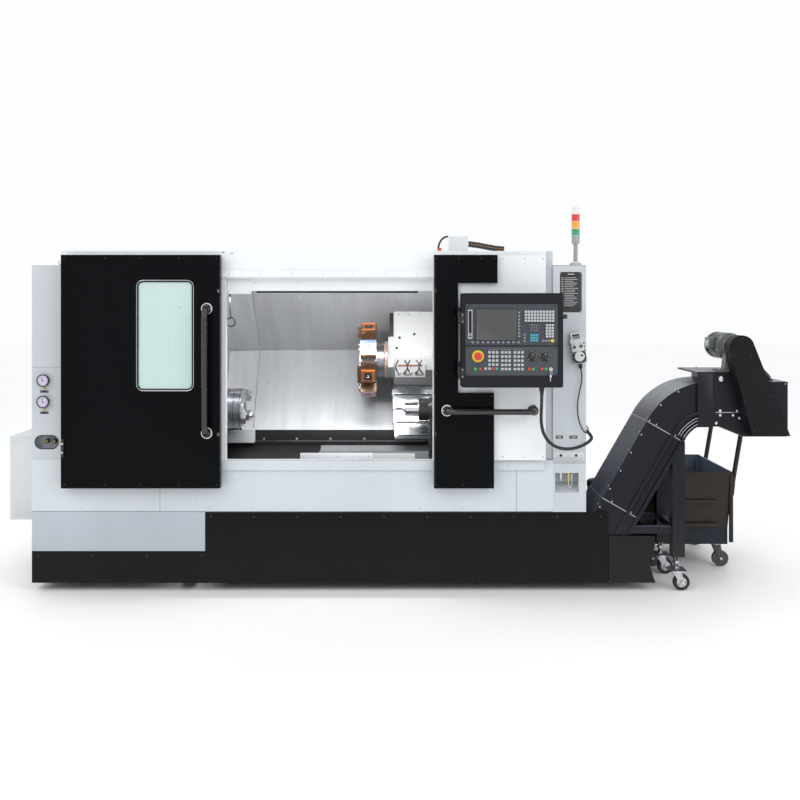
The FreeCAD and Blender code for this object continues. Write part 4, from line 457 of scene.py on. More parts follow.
def liner_sheet(name):
    """Chamber sheet: dull stainless, with coolant runs down it and a brighter grain."""
    f = Finish(name, (0.36, 0.37, 0.385), 0.42, 0.35)
    runs = f.noise(16.0, 5.0, (1.0, 0.12, 0.12), rough=0.65)
    cloudy = f.mix(f.noise(2.6, 3.0), (0.31, 0.32, 0.335), (0.43, 0.44, 0.455))
    f.set("Base Color", f.mix((runs - 0.42).held() * 1.2, cloudy, (0.22, 0.225, 0.235)))
    f.set("Roughness", (runs * 0.3 + 0.24).held())
    f.bump(f.noise(300.0, 2.0, (1, 0.1, 0.1)), 0.00005, 0.5)
    return f


def window_sheet(name):
    """Laminated safety window: pale green, with a haze of fine wiping marks."""
    f = Finish(name, (0.52, 0.66, 0.64), 0.1, coat_weight=0.3, coat_roughness=0.02, alpha=0.93)
    haze = f.noise(7.0, 4.0, (1, 1, 0.35), rough=0.6)
    f.set("Base Color", f.mix(haze, (0.48, 0.63, 0.60), (0.58, 0.72, 0.70)))
    f.set("Roughness", (haze * 0.16 + 0.05).held())
    f.bump(f.noise(60.0, 2.0), 0.00002, 0.3)
    return f


def lamp_column(name):
    """Stack light: grey foot, green, amber and red lenses with upright ribs, and a pale cap."""
    f = Finish(name, (0.5, 0.5, 0.5), 0.25, coat_weight=0.5)
    high = float(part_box("stack_light")[1][2])
    z = f.axis(2)
    tone = f.mix(z.over(high - 0.171), (0.30, 0.31, 0.32), (0.02, 0.30, 0.12))
    tone = f.mix(z.over(high - 0.130), tone, (0.85, 0.33, 0.02))
    tone = f.mix(z.over(high - 0.089), tone, (0.62, 0.02, 0.015))
    tone = f.mix(z.over(high - 0.048), tone, (0.72, 0.72, 0.70))
    f.set("Base Color", tone)
    low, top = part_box("stack_light")
    x, y = f.axis(0) - float(low[0] + top[0]) / 2, f.axis(1) - float(low[1] + top[1]) / 2
    ribs = (f.add("ShaderNodeMath", dict(operation="ARCTAN2"), y, x) * 24.0).wave()
    f.bump(ribs, 0.0008, 0.5)
    f.set("Roughness", (f.noise(40.0) * 0.2 + 0.15).held())
    return f


def steel_plates(name):
    """Hinged belt of rolled plate: pitch lines, oil and swarf dust."""
    f = Finish(name, (0.42, 0.43, 0.45), 0.38, 0.9)
    oil = f.noise(12.0, 5.0, rough=0.7)
    f.set("Base Color", f.mix(oil, (0.22, 0.20, 0.18), (0.50, 0.51, 0.53)))
    f.set("Roughness", (oil * 0.35 + 0.2).held())
    f.bump((f.axis(0) * 140.0).wave() * 0.5 + oil * 0.3, 0.0008, 0.6)
    return f


def floor_finish(name, colour):
    f = Finish(name, colour, 0.55)
    cloud = f.noise(0.8, 3.0)
    f.set("Base Color", f.mix(cloud, dim(colour, 0.97), dim(colour, 1.03)))
    f.set("Roughness", (cloud * 0.15 + 0.45).held())
    f.bump(f.noise(90.0, 3.0), 0.0002, 0.3)
    return f


# ================================================================ settings
def colour(name, tip, value):
    return bpy.props.FloatVectorProperty(
        name=name, description=tip, default=value, size=3, min=0, max=1, subtype="COLOR",
    )


def number(name, tip, value, low, high, unit="LENGTH"):
    return bpy.props.FloatProperty(name=name, description=tip, default=value, min=low, max=high, unit=unit)


class LatheColours(bpy.types.PropertyGroup):
    end_cover: colour("End covers", "Light grey paint of both end cabinets", (0.50, 0.535, 0.565))
    high_guard: colour("High guard", "White paint round the door opening", (0.76, 0.785, 0.805))
    lower_cover: colour("Lower covers", "Light grey paint under the sill", (0.56, 0.60, 0.64))
    access: colour("Access panel", "Blue-grey paint of the lower right panel", (0.42, 0.47, 0.52))
    door: colour("Doors", "Black lacquer of the doors", (0.0018, 0.002, 0.0026))
    console: colour("Operator panel", "Charcoal of the operator panel's housing", (0.012, 0.012, 0.017))
    console_face: colour("Panel face", "Dark grey of the control's face", (0.052, 0.056, 0.068))
    conveyor: colour("Conveyor", "Blue-black paint of the chip conveyor", (0.011, 0.0115, 0.016))
    plinth: colour("Plinth", "Flat black of the plinth", (0.006, 0.006, 0.0065))
    bin: colour("Chip bin", "Worn blue-grey inside of the bin", (0.10, 0.125, 0.17))


class LatheSizes(bpy.types.PropertyGroup):
    cover_screw: number("Cover screws", "Radius of the cap screws that hold the covers", 0.0045, 0.002, 0.01)
    key: number("Keys", "Side of a film key on the operator panel", 0.0145, 0.008, 0.02)
    conduit: number("Conduit", "Diameter of the operator panel's conduit", 0.018, 0.012, 0.03)
    lead: number("Pendant lead", "Diameter of the pendant's lead", 0.007, 0.004, 0.012)


class LatheStage(bpy.types.PropertyGroup):
    lens: number("Lens", "Focal length of the camera on a 36 mm sensor", 44.2, 20, 120, "CAMERA")
    floor: colour("Floor", "Pale floor", (0.97, 0.97, 0.97))
    key_light: number("Key light", "Power of the large soft light at the front", 80.0, 0, 3000, "POWER")
    chamber_light: number("Chamber light", "Power of the work light inside the chamber", 24.0, 0, 200, "POWER")


# ================================================================ stage and cords
def aim(obj, target):
    """Turns a light so that it looks at a point."""
    run = np.array(target, float) - np.array(obj.location)
    obj.rotation_euler = (
        math.atan2(math.hypot(run[0], run[1]), -run[2]), 0, math.atan2(run[1], run[0]) - math.pi / 2,
    )


class LATHE_OT_stage(bpy.types.Operator):
    """Pale floor, soft studio lights, the work light in the chamber and the camera"""
    bl_idname = "lathe.stage"
    bl_label = "Stage"

    def execute(self, context):
        settings = context.scene.lathe_stage
        camera = bpy.data.cameras.new("stage_camera")
        camera.lens, camera.sensor_width, camera.shift_y = settings.lens, 36.0, -0.125
        camera.clip_end = 60
        holder = bpy.data.objects.new("stage_camera", camera)
        holder.location, holder.rotation_euler = DATUM + np.array([0.0, -5.4, 1.6]), (math.pi / 2, 0, 0)
        context.scene.collection.objects.link(holder)
        context.scene.camera = holder
        floor_finish("floor_pale", settings.floor)
        mesh = bpy.data.meshes.new("stage_floor")
        mesh.from_pydata([(-30, -30, 0), (30, -30, 0), (30, 30, 0), (-30, 30, 0)], [], [(0, 1, 2, 3)])
        mesh.materials.append(bpy.data.materials["floor_pale"])
        floor = bpy.data.objects.new("stage_floor", mesh)
        context.scene.collection.objects.link(floor)
        lights = [
            ("key", (-3.2, -5.5, 4.6), (0, 0, 1.1), 4.0, 3.0, settings.key_light, (1.0, 0.98, 0.95)),
            ("fill", (4.2, -4.6, 3.2), (0.3, 0, 0.9), 3.0, 3.0, settings.key_light * 0.8, (0.93, 0.96, 1.0)),
            ("top", (0.0, -0.6, 5.2), (0, -0.2, 0), 5.0, 2.5, settings.key_light * 0.2, (1.0, 1.0, 1.0)),
            ("rear", (0.5, 5.2, 3.6), (0, 0.8, 1.0), 4.0, 3.0, settings.key_light * 0.3, (0.95, 0.97, 1.0)),
            ("left", (-5.2, 0.8, 2.6), (-2.0, 0, 1.0), 2.5, 2.5, settings.key_light * 0.25, (1.0, 1.0, 1.0)),
        ]
        for name, at, target, wide, tall, power, tone in lights:
            lamp = bpy.data.lights.new("light_" + name, "AREA")
            lamp.shape, lamp.size, lamp.size_y, lamp.energy, lamp.color = "RECTANGLE", wide, tall, power, tone
            stand = bpy.data.objects.new("light_" + name, lamp)
            stand.location = at
            aim(stand, target)
            context.scene.collection.objects.link(stand)
        lamp = bpy.data.lights.new("light_chamber", "AREA")
        lamp.shape, lamp.size, lamp.size_y, lamp.energy = "RECTANGLE", 1.3, 0.12, settings.chamber_light
        tube = bpy.data.objects.new("light_chamber", lamp)
        tube.location = DATUM + np.array([-0.35, 0.14, 1.64])
        aim(tube, DATUM + np.array([-0.35, 0.9, 1.0]))
        context.scene.collection.objects.link(tube)
        world = bpy.data.worlds.new("studio")
        world.use_nodes = True
        world.node_tree.nodes["Background"].inputs["Color"].default_value = (0.98, 0.99, 1.0, 1.0)
        world.node_tree.nodes["Background"].inputs["Strength"].default_value = 1.0
        context.scene.world = world
        context.scene.view_settings.view_transform = "Standard"
        return {"FINISHED"}


CONDUIT_POINTS = [
    (0.752, -0.190, 1.126), (0.752, -0.190, 1.066), (0.750, -0.183, 1.004), (0.752, -0.165, 0.944),
    (0.768, -0.142, 0.882), (0.806, -0.118, 0.828), (0.862, -0.096, 0.798), (0.922, -0.078, 0.792),
    (0.978, -0.060, 0.802), (1.026, -0.034, 0.820), (1.056, 0.008, 0.836), (1.063, 0.064, 0.843),
    (1.067, 0.128, 0.847), (1.069, 0.204, 0.849), (1.0697, 0.284, 0.8497), (1.0699, 0.362, 0.8499),
    (1.070, 0.438, 0.850), (1.070, 0.500, 0.850),
]
LEAD_POINTS = [
    (0.99101, -0.019, 1.22534), (0.99835, -0.019, 1.18196), (0.991, -0.021, 1.130), (0.977, -0.022, 1.075),
    (0.970, -0.023, 1.019), (0.973, -0.024, 0.966), (0.985, -0.026, 0.918), (1.003, -0.026, 0.883),
    (1.024, -0.014, 0.868), (1.038, 0.012, 0.872), (1.046, 0.050, 0.880), (1.050, 0.098, 0.886),
    (1.052, 0.154, 0.8895), (1.053, 0.212, 0.891), (1.0536, 0.270, 0.8916), (1.0539, 0.328, 0.8919),
    (1.05397, 0.386, 0.89197), (1.054, 0.444, 0.892), (1.054, 0.500, 0.892),
]


def cord_line(name, points):
    """One open NURBS line of order 3 through the neighbourhood of its control points."""
    curve = bpy.data.curves.new(name, "CURVE")
    curve.dimensions, curve.resolution_u = "3D", 12
    spline = curve.splines.new("NURBS")
    spline.points.add(len(points) - 1)
    for point, at in zip(spline.points, points):
        point.co = (*(DATUM + np.array(at)), 1.0)
    spline.order_u, spline.use_endpoint_u = 3, True
    obj = bpy.data.objects.new(name, curve)
    bpy.context.scene.collection.objects.link(obj)
    return obj


def followed(obj, step):
    """Points a step apart, in metres, along a curve's own line."""
    bpy.context.view_layer.update()
    mesh = bpy.data.meshes.new_from_object(obj)
    flat = np.empty(len(mesh.vertices) * 3)
    mesh.vertices.foreach_get("co", flat)
    line = flat.reshape(-1, 3)
    bpy.data.meshes.remove(mesh)
    run = np.concatenate([[0], np.cumsum(np.linalg.norm(np.diff(line, axis=0), axis=1))])
    at = np.linspace(0, run[-1], max(2, int(run[-1] / step) + 1))
    return np.stack([np.interp(at, run, line[:, k]) for k in range(3)], axis=1), run[-1]


class LATHE_OT_cords(bpy.types.Operator):
    """The operator panel's ribbed conduit and the pendant's lead, with the strain reliefs they leave by"""
    bl_idname = "lathe.cords"
    bl_label = "Conduit and lead"

    def execute(self, context):
        sizes = context.scene.lathe_sizes
        guide = cord_line("conduit_guide", CONDUIT_POINTS)
        line, length = followed(guide, 0.0016)
        bpy.data.objects.remove(guide)
        # rings of the conduit: its radius steps between a crest and a root every fourth point
        root = sizes.conduit / 2 * 0.86
        radii = np.where(np.arange(len(line)) % 4 < 2, sizes.conduit / 2, root) * 1000
        hose = Piece("conduit_hose")
        hose.tube("conduit_ribbed", (line - DATUM) * 1000, radii, 14, (0.2, 1, 0.1))
        made = hose.done("rubber_black", 60)
        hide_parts("panel_conduit")
        lead = cord_line("pendant_cable", LEAD_POINTS)
        lead.data.bevel_depth, lead.data.bevel_resolution, lead.data.use_fill_caps = sizes.lead / 2, 4, True
        lead.data.materials.append(bpy.data.materials["lead_rubber"])
        guide = cord_line("lead_guide", LEAD_POINTS)
        line, length = followed(guide, 0.004)
        bpy.data.objects.remove(guide)
        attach(lead, "machine")
        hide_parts("pendant_lead")
        ends = Piece("cord_reliefs")
        x, y, z = np.array(CONDUIT_POINTS[0]) * 1000
        ends.turn(
            "gland_black", UNDER, (x, y, z + 20),
            [(16, -14), (16, 0), (15, 4), (15, 16), (12.5, 20), (12.5, 26), (10, 40), (9.4, 52)], 20,
        )
        ends.form("gland_black", UNDER, (x, y, z + 18), disc(18, 6), [(1, -12), (0, -10), (0, -2), (1, 0)])
        for points, r in ((CONDUIT_POINTS, 9.0), (LEAD_POINTS, 3.6)):
            x, y, z = np.array(points[-1]) * 1000
            ends.turn(
                "gland_black", FRONT, (x, y, z),
                [(r * 2.0, -1), (r * 2.0, 5), (r * 1.6, 7), (r * 1.6, 16), (r * 1.25, 19), (r * 1.05, 38)], 20,
            )
            ends.nut("gland_black", FRONT, (x, y, z), r * 2.1, 7, 15)
        ends.done("rubber_black")
        return {"FINISHED"}


# ================================================================ finishes of the CAD nodes
NODES_OF = {
    "zinc_plate": "levelling_feet leg_fork_front leg_fork_rear",
    "plinth_black": "plinth",
    "casting_grey": "bed headstock saddle",
    "cover_lower": "lower_front_cover",
    "cover_access": "lower_access_panel",
    "cover_end": "left_end_cover right_column",
    "cover_pale": "left_side_box",
    "cover_white": "front_frame rear_roof_cover right_door_panel",
    "liner_steel": "chamber_liner",
    "spindle_turned": "spindle",
    "chuck_turned": "chuck_body",
    "jaw_ground": "chuck_jaw_1 chuck_jaw_2 chuck_jaw_3",
    "motor_paint": "spindle_motor",
    "steel_bright": "motor_pulley z_ballscrew conveyor_drive_shaft",
    "belt_rubber": "drive_belt",
    "way_plate": "way_covers",
    "turret_paint": "turret_housing",
    "disc_ground": "turret_disc",
    "holder_oiled": "tool_holders",
    "tail_paint": "tailstock_body",
    "quill_bright": "tailstock_quill",
    "door_lacquer": "left_door_panel right_door_skin",
    "window_green": "left_door_glass",
    "handle_satin": "left_door_handle right_door_handle",
    "console_charcoal": "panel_box panel_face",
    "stop_red_gloss": "estop_button",
    "knob_moulded": "feed_knob spindle_knob pendant_axis_knob pendant_rate_knob",
    "pendant_white": "pendant_body",
    "dial_white": "pendant_dial",
    "lamp_lenses": "stack_light",
    "lead_rubber": "panel_conduit pendant_lead",
    "tank_black": "coolant_tank",
    "conveyor_paint": "conveyor_body conveyor_head conveyor_legs",
    "gear_paint": "conveyor_motor",
    "guard_matt": "chain_guard",
    "belt_plates": "conveyor_belt",
    "tyre_rubber": "leg_wheel_front leg_wheel_rear",
    "bin_worn": "bin_tub",
    "bin_caster": "bin_casters",
}


def conveyor_sheet(name, paint_colour):
    """Blue-black sheet: scuffed where it is walked past, with faces that look up, the upper bend among them,
    painted paler and bluer as a painted sheen of the light from above.
    """
    f = paint(name, paint_colour, 0.33, cloud=0.2, grime=0.12, coat=0.03, shine=0.14)
    # painted light: the more a face looks up, the more it is washed towards a paler blue, a painted sheen of the
    # light from above, broken up by noise
    level = (f.add("ShaderNodeSeparateXYZ", None, f.add("ShaderNodeNewGeometry", out=1), out=2)).held()
    pale_wash = (level * (f.noise(5.0, 4.0) * 0.5 + 0.75)).held() * 0.75
    old = f.shader.inputs["Base Color"].links[0].from_socket
    f.set("Base Color", f.mix(pale_wash, Wire(f, old), (0.12, 0.13, 0.18)))
    return f


def chip_bin(name, inside):
    """Worn bin: blue-grey inside, brown-black outside, with bare bright scratches."""
    f = Finish(name, inside, 0.4, 0.2, specular_ior_level=0.2)
    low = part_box("bin_tub")[0]
    front = (f.axis(1) * 1.0).under(float(low[1]) + 0.035)
    right = f.axis(0).over(float(CHIP_RIGHT))
    worn = f.noise(18.0, 5.0, rough=0.7)
    outside = f.mix(worn, (0.022, 0.018, 0.016), (0.045, 0.036, 0.032))
    room = f.mix(worn, dim(inside, 0.7), dim(inside, 1.35))
    toned = f.mix((front + right).held(), room, outside)
    frame_low = f.axis(2).under(float(low[2]) + 0.105)
    toned = f.mix(frame_low, toned, (0.020, 0.023, 0.032))
    scratch = (f.noise(30.0, 6.0, (1, 1, 6), rough=0.8) - 0.66).held() * 6.0
    f.set("Base Color", f.mix(scratch.held() * 0.7, toned, (0.26, 0.25, 0.24)))
    f.set("Roughness", (worn * 0.4 + 0.18).held())
    f.bump(worn, 0.0006, 0.5)
    return f


CHIP_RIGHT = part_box("bin_tub")[0][0] + 0.566


class LATHE_OT_finishes(bpy.types.Operator):
    """Every finish of the machine, and the CAD parts that take them"""
    bl_idname = "lathe.finishes"
    bl_label = "Finishes"

    def execute(self, context):
        c = context.scene.lathe_colours
        spindle = frame_centre("chuck_body")
        paint("cover_end", c.end_cover)
        paint("cover_white", c.high_guard, 0.38)
        paint("cover_lower", c.lower_cover, 0.32)
        paint("cover_access", c.access, 0.32)
        paint("cover_pale", (0.62, 0.64, 0.65), 0.42)
        paint("plinth_black", c.plinth, 0.5, cloud=0.25, grime=0.03, coat=0.0, shine=0.1)
        paint("turret_paint", (0.40, 0.405, 0.41), 0.36, grime=0.0)
        paint("tail_paint", (0.030, 0.031, 0.034), 0.4, grime=0.0, shine=0.3)
        paint("motor_paint", (0.05, 0.055, 0.06), 0.45)
        paint("gear_paint", (0.085, 0.095, 0.09), 0.42, cloud=0.25)
        paint("guard_matt", (0.008, 0.008, 0.0095), 0.55, cloud=0.3, grime=0.05, coat=0.0, shine=0.12)
        paint("tank_black", (0.009, 0.009, 0.010), 0.42, grime=0.05, coat=0.0, shine=0.15)
        paint("console_charcoal", c.console, 0.38, grime=0.02, coat=0.05, shine=0.15)
        paint("console_grey", c.console_face, 0.42, cloud=0.06, grime=0.0, coat=0.0, shine=0.2)
        paint("console_lower", (0.062, 0.068, 0.078), 0.42, cloud=0.06, grime=0.0, coat=0.0, shine=0.2)
        paint("orange_paint", (0.80, 0.16, 0.02), 0.35, grime=0.0)
        paint("blue_block", (0.07, 0.13, 0.34), 0.4, grime=0.0)
        paint("pink_block", (0.52, 0.36, 0.36), 0.42, grime=0.0)
        paint("brown_block", (0.22, 0.075, 0.028), 0.38, grime=0.0)
        paint("rust_under", (0.24, 0.095, 0.035), 0.55, cloud=0.35, grime=0.0)
        paint("vent_black", (0.010, 0.010, 0.011), 0.6, grime=0.0)
        casting("casting_grey", (0.23, 0.26, 0.27))
        liner_sheet("liner_steel")
        gloss_door("door_lacquer", c.door)
        window_sheet("window_green")
        conveyor_sheet("conveyor_paint", c.conveyor)
        chip_bin("bin_worn", c.bin)
        lamp_column("lamp_lenses")
        steel_plates("belt_plates")
        turned("spindle_turned", (0.60, 0.60, 0.61), spindle[1], spindle[2])
        turned("chuck_turned", (0.50, 0.52, 0.57), spindle[1], spindle[2], 0.2, 0.0014)
        turned("quill_bright", (0.72, 0.72, 0.74), spindle[1], spindle[2], 0.16, 0.0008)
        brushed("jaw_ground", (0.52, 0.52, 0.54), (1, 8, 1), 0.28)
        brushed("disc_ground", (0.34, 0.34, 0.37), (1, 6, 6), 0.32)
        brushed("holder_oiled", (0.30, 0.20, 0.13), (6, 1, 1), 0.36, tarnish=0.4)
        brushed("way_plate", (0.66, 0.68, 0.70), (0.4, 4, 4), 0.26)
        brushed("steel_bright", (0.62, 0.62, 0.63), (6, 6, 1), 0.24)
        brushed("chrome_ring", (0.80, 0.80, 0.82), rough=0.12, depth=0.00001, tarnish=0.05)
        brushed("zinc_plate", (0.56, 0.57, 0.58), rough=0.34, grain=60.0, tarnish=0.3)
        brushed("screw_zinc", (0.62, 0.62, 0.64), rough=0.26, grain=400.0)
        brushed("copper_fitting", (0.62, 0.26, 0.12), rough=0.3)
        brushed("brass_fitting", (0.66, 0.47, 0.17), rough=0.28)
        moulded("handle_satin", (0.012, 0.012, 0.013), 0.26, 300.0, 0.00002, coat_weight=0.4)
        moulded("knob_moulded", (0.018, 0.018, 0.02), 0.42)
        moulded("gland_black", (0.012, 0.012, 0.013), 0.45)
        moulded("lead_rubber", (0.014, 0.014, 0.015), 0.55)
        moulded("conduit_ribbed", (0.013, 0.013, 0.014), 0.5)
        moulded("belt_rubber", (0.012, 0.012, 0.012), 0.7, 220.0, 0.0002)
        moulded("tyre_rubber", (0.011, 0.011, 0.012), 0.62, 200.0, 0.00025)
        moulded("gasket_black", (0.010, 0.010, 0.010), 0.6)
        moulded("stop_red_gloss", (0.56, 0.012, 0.01), 0.18, coat_weight=0.8)
        moulded("stop_yellow", (0.80, 0.52, 0.015), 0.35)
        moulded("pendant_white", (0.60, 0.61, 0.60), 0.45)
        moulded("dial_white", (0.66, 0.67, 0.66), 0.4)
        moulded("bin_caster", (0.05, 0.05, 0.052), 0.5)
        moulded("key_pale", (0.42, 0.44, 0.47), 0.4)
        moulded("key_mid", (0.20, 0.21, 0.24), 0.42)
        moulded("key_dim", (0.105, 0.112, 0.13), 0.42)
        moulded("key_yellow", (0.62, 0.50, 0.08), 0.4)
        moulded("key_green", (0.02, 0.36, 0.09), 0.3, coat_weight=0.5)
        moulded("key_red", (0.52, 0.03, 0.02), 0.3, coat_weight=0.5)
        moulded("key_cyan", (0.05, 0.33, 0.42), 0.35)
        moulded("screen_dark", (0.030, 0.031, 0.033), 0.14, 900.0, 0.00001, coat_weight=1.0, coat_roughness=0.05)
        moulded("legend_black", (0.012, 0.012, 0.013), 0.35)
        moulded("mark_white", (0.68, 0.69, 0.70), 0.5)
        moulded("tag_orange", (0.75, 0.30, 0.03), 0.45)
        moulded("gauge_dial", (0.50, 0.47, 0.60), 0.3, coat_weight=1.0)
        for name, nodes in NODES_OF.items():
            for node in nodes.split():
                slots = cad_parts[node].material_slots
                if not slots:
                    raise RuntimeError(f"{node} has no material slot")
                for slot in slots:
                    slot.material = bpy.data.materials[name]
        return {"FINISHED"}


def frame_centre(node):
    """Middle of a CAD node, in metres."""
    low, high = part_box(node)
    return [(a + b) / 2 for a, b in zip(low, high)]


# ================================================================ fittings of the covers
LEFT_SIDE, RIGHT_SIDE, REAR, ROOF = -2024.0, 1110.0, 1600.0, 1870.0     # outer faces of the covers
DOOR_FACE = -75.0                                                       # front of the doors' black faces
SLANT = math.radians(58.4)
UP_SLOPE = np.array([0.0, math.cos(SLANT), math.sin(SLANT)])
OFF_SLOPE = np.array([0.0, -math.sin(SLANT), math.cos(SLANT)])
ON_SLANT = (X, UP_SLOPE, OFF_SLOPE)
SPINDLE = np.array([0.0, 620.0, 930.0])


def on_spindle(x):
    """A point on the spindle's axis."""
    return SPINDLE + x * X


def out_slope(a):
    """Direction at an angle, in radians, round the spindle's axis from up the slant."""
    return math.cos(a) * UP_SLOPE + math.sin(a) * OFF_SLOPE


def slope_point(x, u, n):
    """A point given along the spindle, up the slant and off it, from the spindle's axis."""
    return SPINDLE + x * X + u * UP_SLOPE + n * OFF_SLOPE


def screw_row(piece, finish, face, start, step, count, r=4.5, h=2.6):
    for k in range(count):
        piece.screw(finish, face, np.asarray(start, float) + k * np.asarray(step, float), r, h)


def framed(piece, finish, face, at, w, h, r, thick):
    """Round bead along the outline of a rounded rectangle, as a gasket or trim."""
    u, v, n = face
    ring = rect(w, h, r, 5)(0)
    piece.tube(finish, np.asarray(at, float) + ring[:, :1] * u + ring[:, 1:] * v, thick, 8, n, closed=True)


def louvres(piece, finish, face, at, w, pitch, count, depth=7.0):
    """Pressed slots, one above another: each a half-round hood over a dark slit."""
    u, v, n = face
    t = np.linspace(0, np.pi, 9)
    hood = np.stack([-np.cos(t) * pitch * 0.36, np.sin(t) * depth], axis=1)
    ends = np.array([[-w / 2], [w / 2]]) * u
    for k in range(count):
        base = np.asarray(at, float) + k * pitch * v
        piece.bar(finish, np.flip(hood, 0), v, n, base + ends)
        piece.plate("vent_black", face, base - v * pitch * 0.42, w * 0.98, 2.2, 0.6, 0.5, 0.2)


class LATHE_OT_covers(bpy.types.Operator):
    """Screws, seams, louvres, gauges, eyebolts and badges' bare plates on the covers"""
    bl_idname = "lathe.covers"
    bl_label = "Covers"

    def execute(self, context):
        r = context.scene.lathe_sizes.cover_screw * 1000
        p = Piece("cover_fittings")
        # door rails, sill and posts
        screw_row(p, "screw_zinc", FRONT, (-1790, -20, 1742), (171, 0, 0), 16, 4, 2.4)
        screw_row(p, "screw_zinc", FRONT, (-1760, -15, 692), (196, 0, 0), 13, 4, 2.4)
        p.plate("vent_black", FRONT, (-973, 0, 1862), 13, 4, 0.6, 1)
        p.plate("vent_black", FRONT, (-924, 0, 1856), 13, 4, 0.6, 1)
        p.screws("screw_zinc", FRONT, (-883, -801, -562, -187, 60), 40, 1696, 4, 2.6)
        p.plate("cover_white", FRONT, (-888, 40, 1674), 132, 80, 3, 3)
        p.screws("screw_zinc", FRONT, (-944, -832), 37, 1648, 3.2, 2)
        p.plate("steel_bright", FRONT, (-388, 0, 719), 1130, 3, 2.5, 1)
        screw_row(p, "screw_zinc", FRONT, (-1980, 0, 455), (232, 0, 0), 13, r, 2.4)
        screw_row(p, "screw_zinc", FRONT, (-1980, 0, 416), (290, 0, 0), 4, r, 2.4)
        screw_row(p, "screw_zinc", FRONT, (-1980, 0, 240), (290, 0, 0), 4, r, 2.4)
        p.plate("vent_black", FRONT, (-591, 0, 437), 2862, 2.4, 0.4, 0.5, 0.1)
        p.plate("vent_black", FRONT, (640, 0, 578), 1.6, 284, 0.3, 0.5, 0.1)
        p.plate("vent_black", FRONT, (-1320, 0, 578), 1.6, 284, 0.3, 0.5, 0.1)
        # plinth bolts
        screw_row(p, "gland_black", FRONT, (-1040, 0, 408), (238, 0, 0), 10, 6, 3)
        screw_row(p, "gland_black", FRONT, (-1990, 0, 196), (300, 0, 0), 4, 6, 3)
        # left end cabinet: gauges, tags, valve window, eyebolts
        for z in (1159.0, 1042.0):
            at = np.array([-1955.0, -26.0, z])
            p.turn("gasket_black", FRONT, at, [(34.5, -8), (34.5, 2), (33, 4), (29.5, 4), (29, 1.4)], 36)
            p.turn("gauge_dial", FRONT, at, [(29, 0.4), (29, 1.6), (28.6, 1.8)], 36)
            for k in range(11):
                degrees = 225 - 27 * k
                p.plate("legend_black", turned_face(FRONT, degrees), round_centre(at - 1.9 * Y, FRONT, 23, degrees),
                        4 if k % 5 else 6.5, 1.1, 0.4, 0.2, 0.1)
            needle = turned_face(FRONT, 118 if z > 1100 else 96)
            p.plate("legend_black", needle, at + needle[0] * 7 - 2.4 * Y, 26, 1.8, 0.7, 0.6, 0.2)
            p.turn("legend_black", FRONT, at - 2.2 * Y, [(3.4, 0), (3.4, 1.6), (2.4, 2.2)], 14)
            p.turn("brass_fitting", UNDER, at + (0, 12, -33), [(7, -2), (7, 8), (5, 10), (5, 18)], 12)
            p.plate("legend_black", FRONT, (-1955, 0, z - 62), 46, 13, 0.9, 2)
            p.screw("screw_zinc", FRONT, (-1972, -0.9, z - 62), 1.8, 1)
            p.screw("screw_zinc", FRONT, (-1938, -0.9, z - 62), 1.8, 1)
        p.screws("screw_zinc", FRONT, (-2012, -1917), 0, (1682, 1611), 3.4, 2)
        framed(p, "gasket_black", FRONT, (-1942.5, -0.5, 818.5), 129, 73, 36, 2.4)
        for x in (-1946, -1906):
            p.form("gland_black", FRONT, (x, 30, 822), lobed(14, 12, 1.6, 48), [(0, 0), (0, 14), (1.5, 16)])
            p.turn("brass_fitting", FRONT, (x, 14, 822), [(6, -2), (6, 6), (4.5, 8)], 14)
        for x in (-1890, -1874):
            p.tube("zinc_plate", hoop((x, 60, 1808), 9 * X, 9 * Z, 18), 2.6, 8, (0, 1, 0), closed=True)
            p.turn("zinc_plate", TOP, (x, 60, 1792), [(7, -1), (7, 3), (4, 5), (4, 8)], 12)
        p.plate("vent_black", FRONT, (-1944, 0, 1230), 159, 1.4, 0.3, 0.3, 0.1)
        # left end: service door, louvres and the terminal box's lid
        p.plate("cover_end", LEFT, (LEFT_SIDE, 850, 1385), 1180, 700, 3.5, 14)
        p.screws("screw_zinc", LEFT, -2027.5, (300, 1400), (1070, 1385, 1700), 5, 3)
        louvres(p, "cover_end", LEFT, (LEFT_SIDE, 1150, 760), 260, 24, 9)
        framed(p, "gland_black", LEFT, on_spindle(-2024), 128, 128, 63.5, 4)
        louvres(p, "cover_end", LEFT, (LEFT_SIDE - 3.5, 1150, 1400), 260, 24, 9)
        p.turn("gland_black", LEFT, (LEFT_SIDE - 3.5, 330, 1385), [(17, 0), (17, 4), (15, 6)], 20)
        p.plate("chrome_ring", LEFT, (-2033.5, 330, 1385), 5, 22, 2, 1)
        p.plate("cover_pale", LEFT, (-2274, 665, 561), 620, 436, 4, 8)
        p.screws("screw_zinc", LEFT, -2278, (380, 950), (368, 754), 5, 3)
        p.plate("cover_pale", FRONT, (-2149, 330, 561), 212, 440, 3, 8)
        p.screws("screw_zinc", FRONT, (-2240, -2058), 327, (358, 764), 4, 2.4)
        for k, y in enumerate((420, 520, 620, 740)):
            p.turn(
                "gland_black", UNDER, (-2150, y, 319),
                [(19, -1), (19, 6), (15, 8), (15, 20), (11, 24), (9, 34)], 18,
            )
            p.nut("gland_black", UNDER, (-2150, y, 319), 21, 7, 16)
        p.done("grey_cover")
        # back: panels, louvres, fan grilles
        q = Piece("rear_fittings")
        for x in (-1400, -480, 380):
            q.plate("cover_white", BACK, (x, REAR, 1180), 800, 1300, 3, 10)
            for dx in (-375, 375):
                q.screws("screw_zinc", BACK, x + dx, 1603, (560, 870, 1180, 1490, 1800), 5, 3)
            louvres(q, "cover_white", BACK, (x, REAR + 3, 650), 420, 26, 8)
        q.plate("cover_lower", BACK, (-1550, REAR, 328), 900, 190, 3, 8)
        q.screws("screw_zinc", BACK, (-1960, -1550, -1140), 1603, (250, 405), 5, 3)
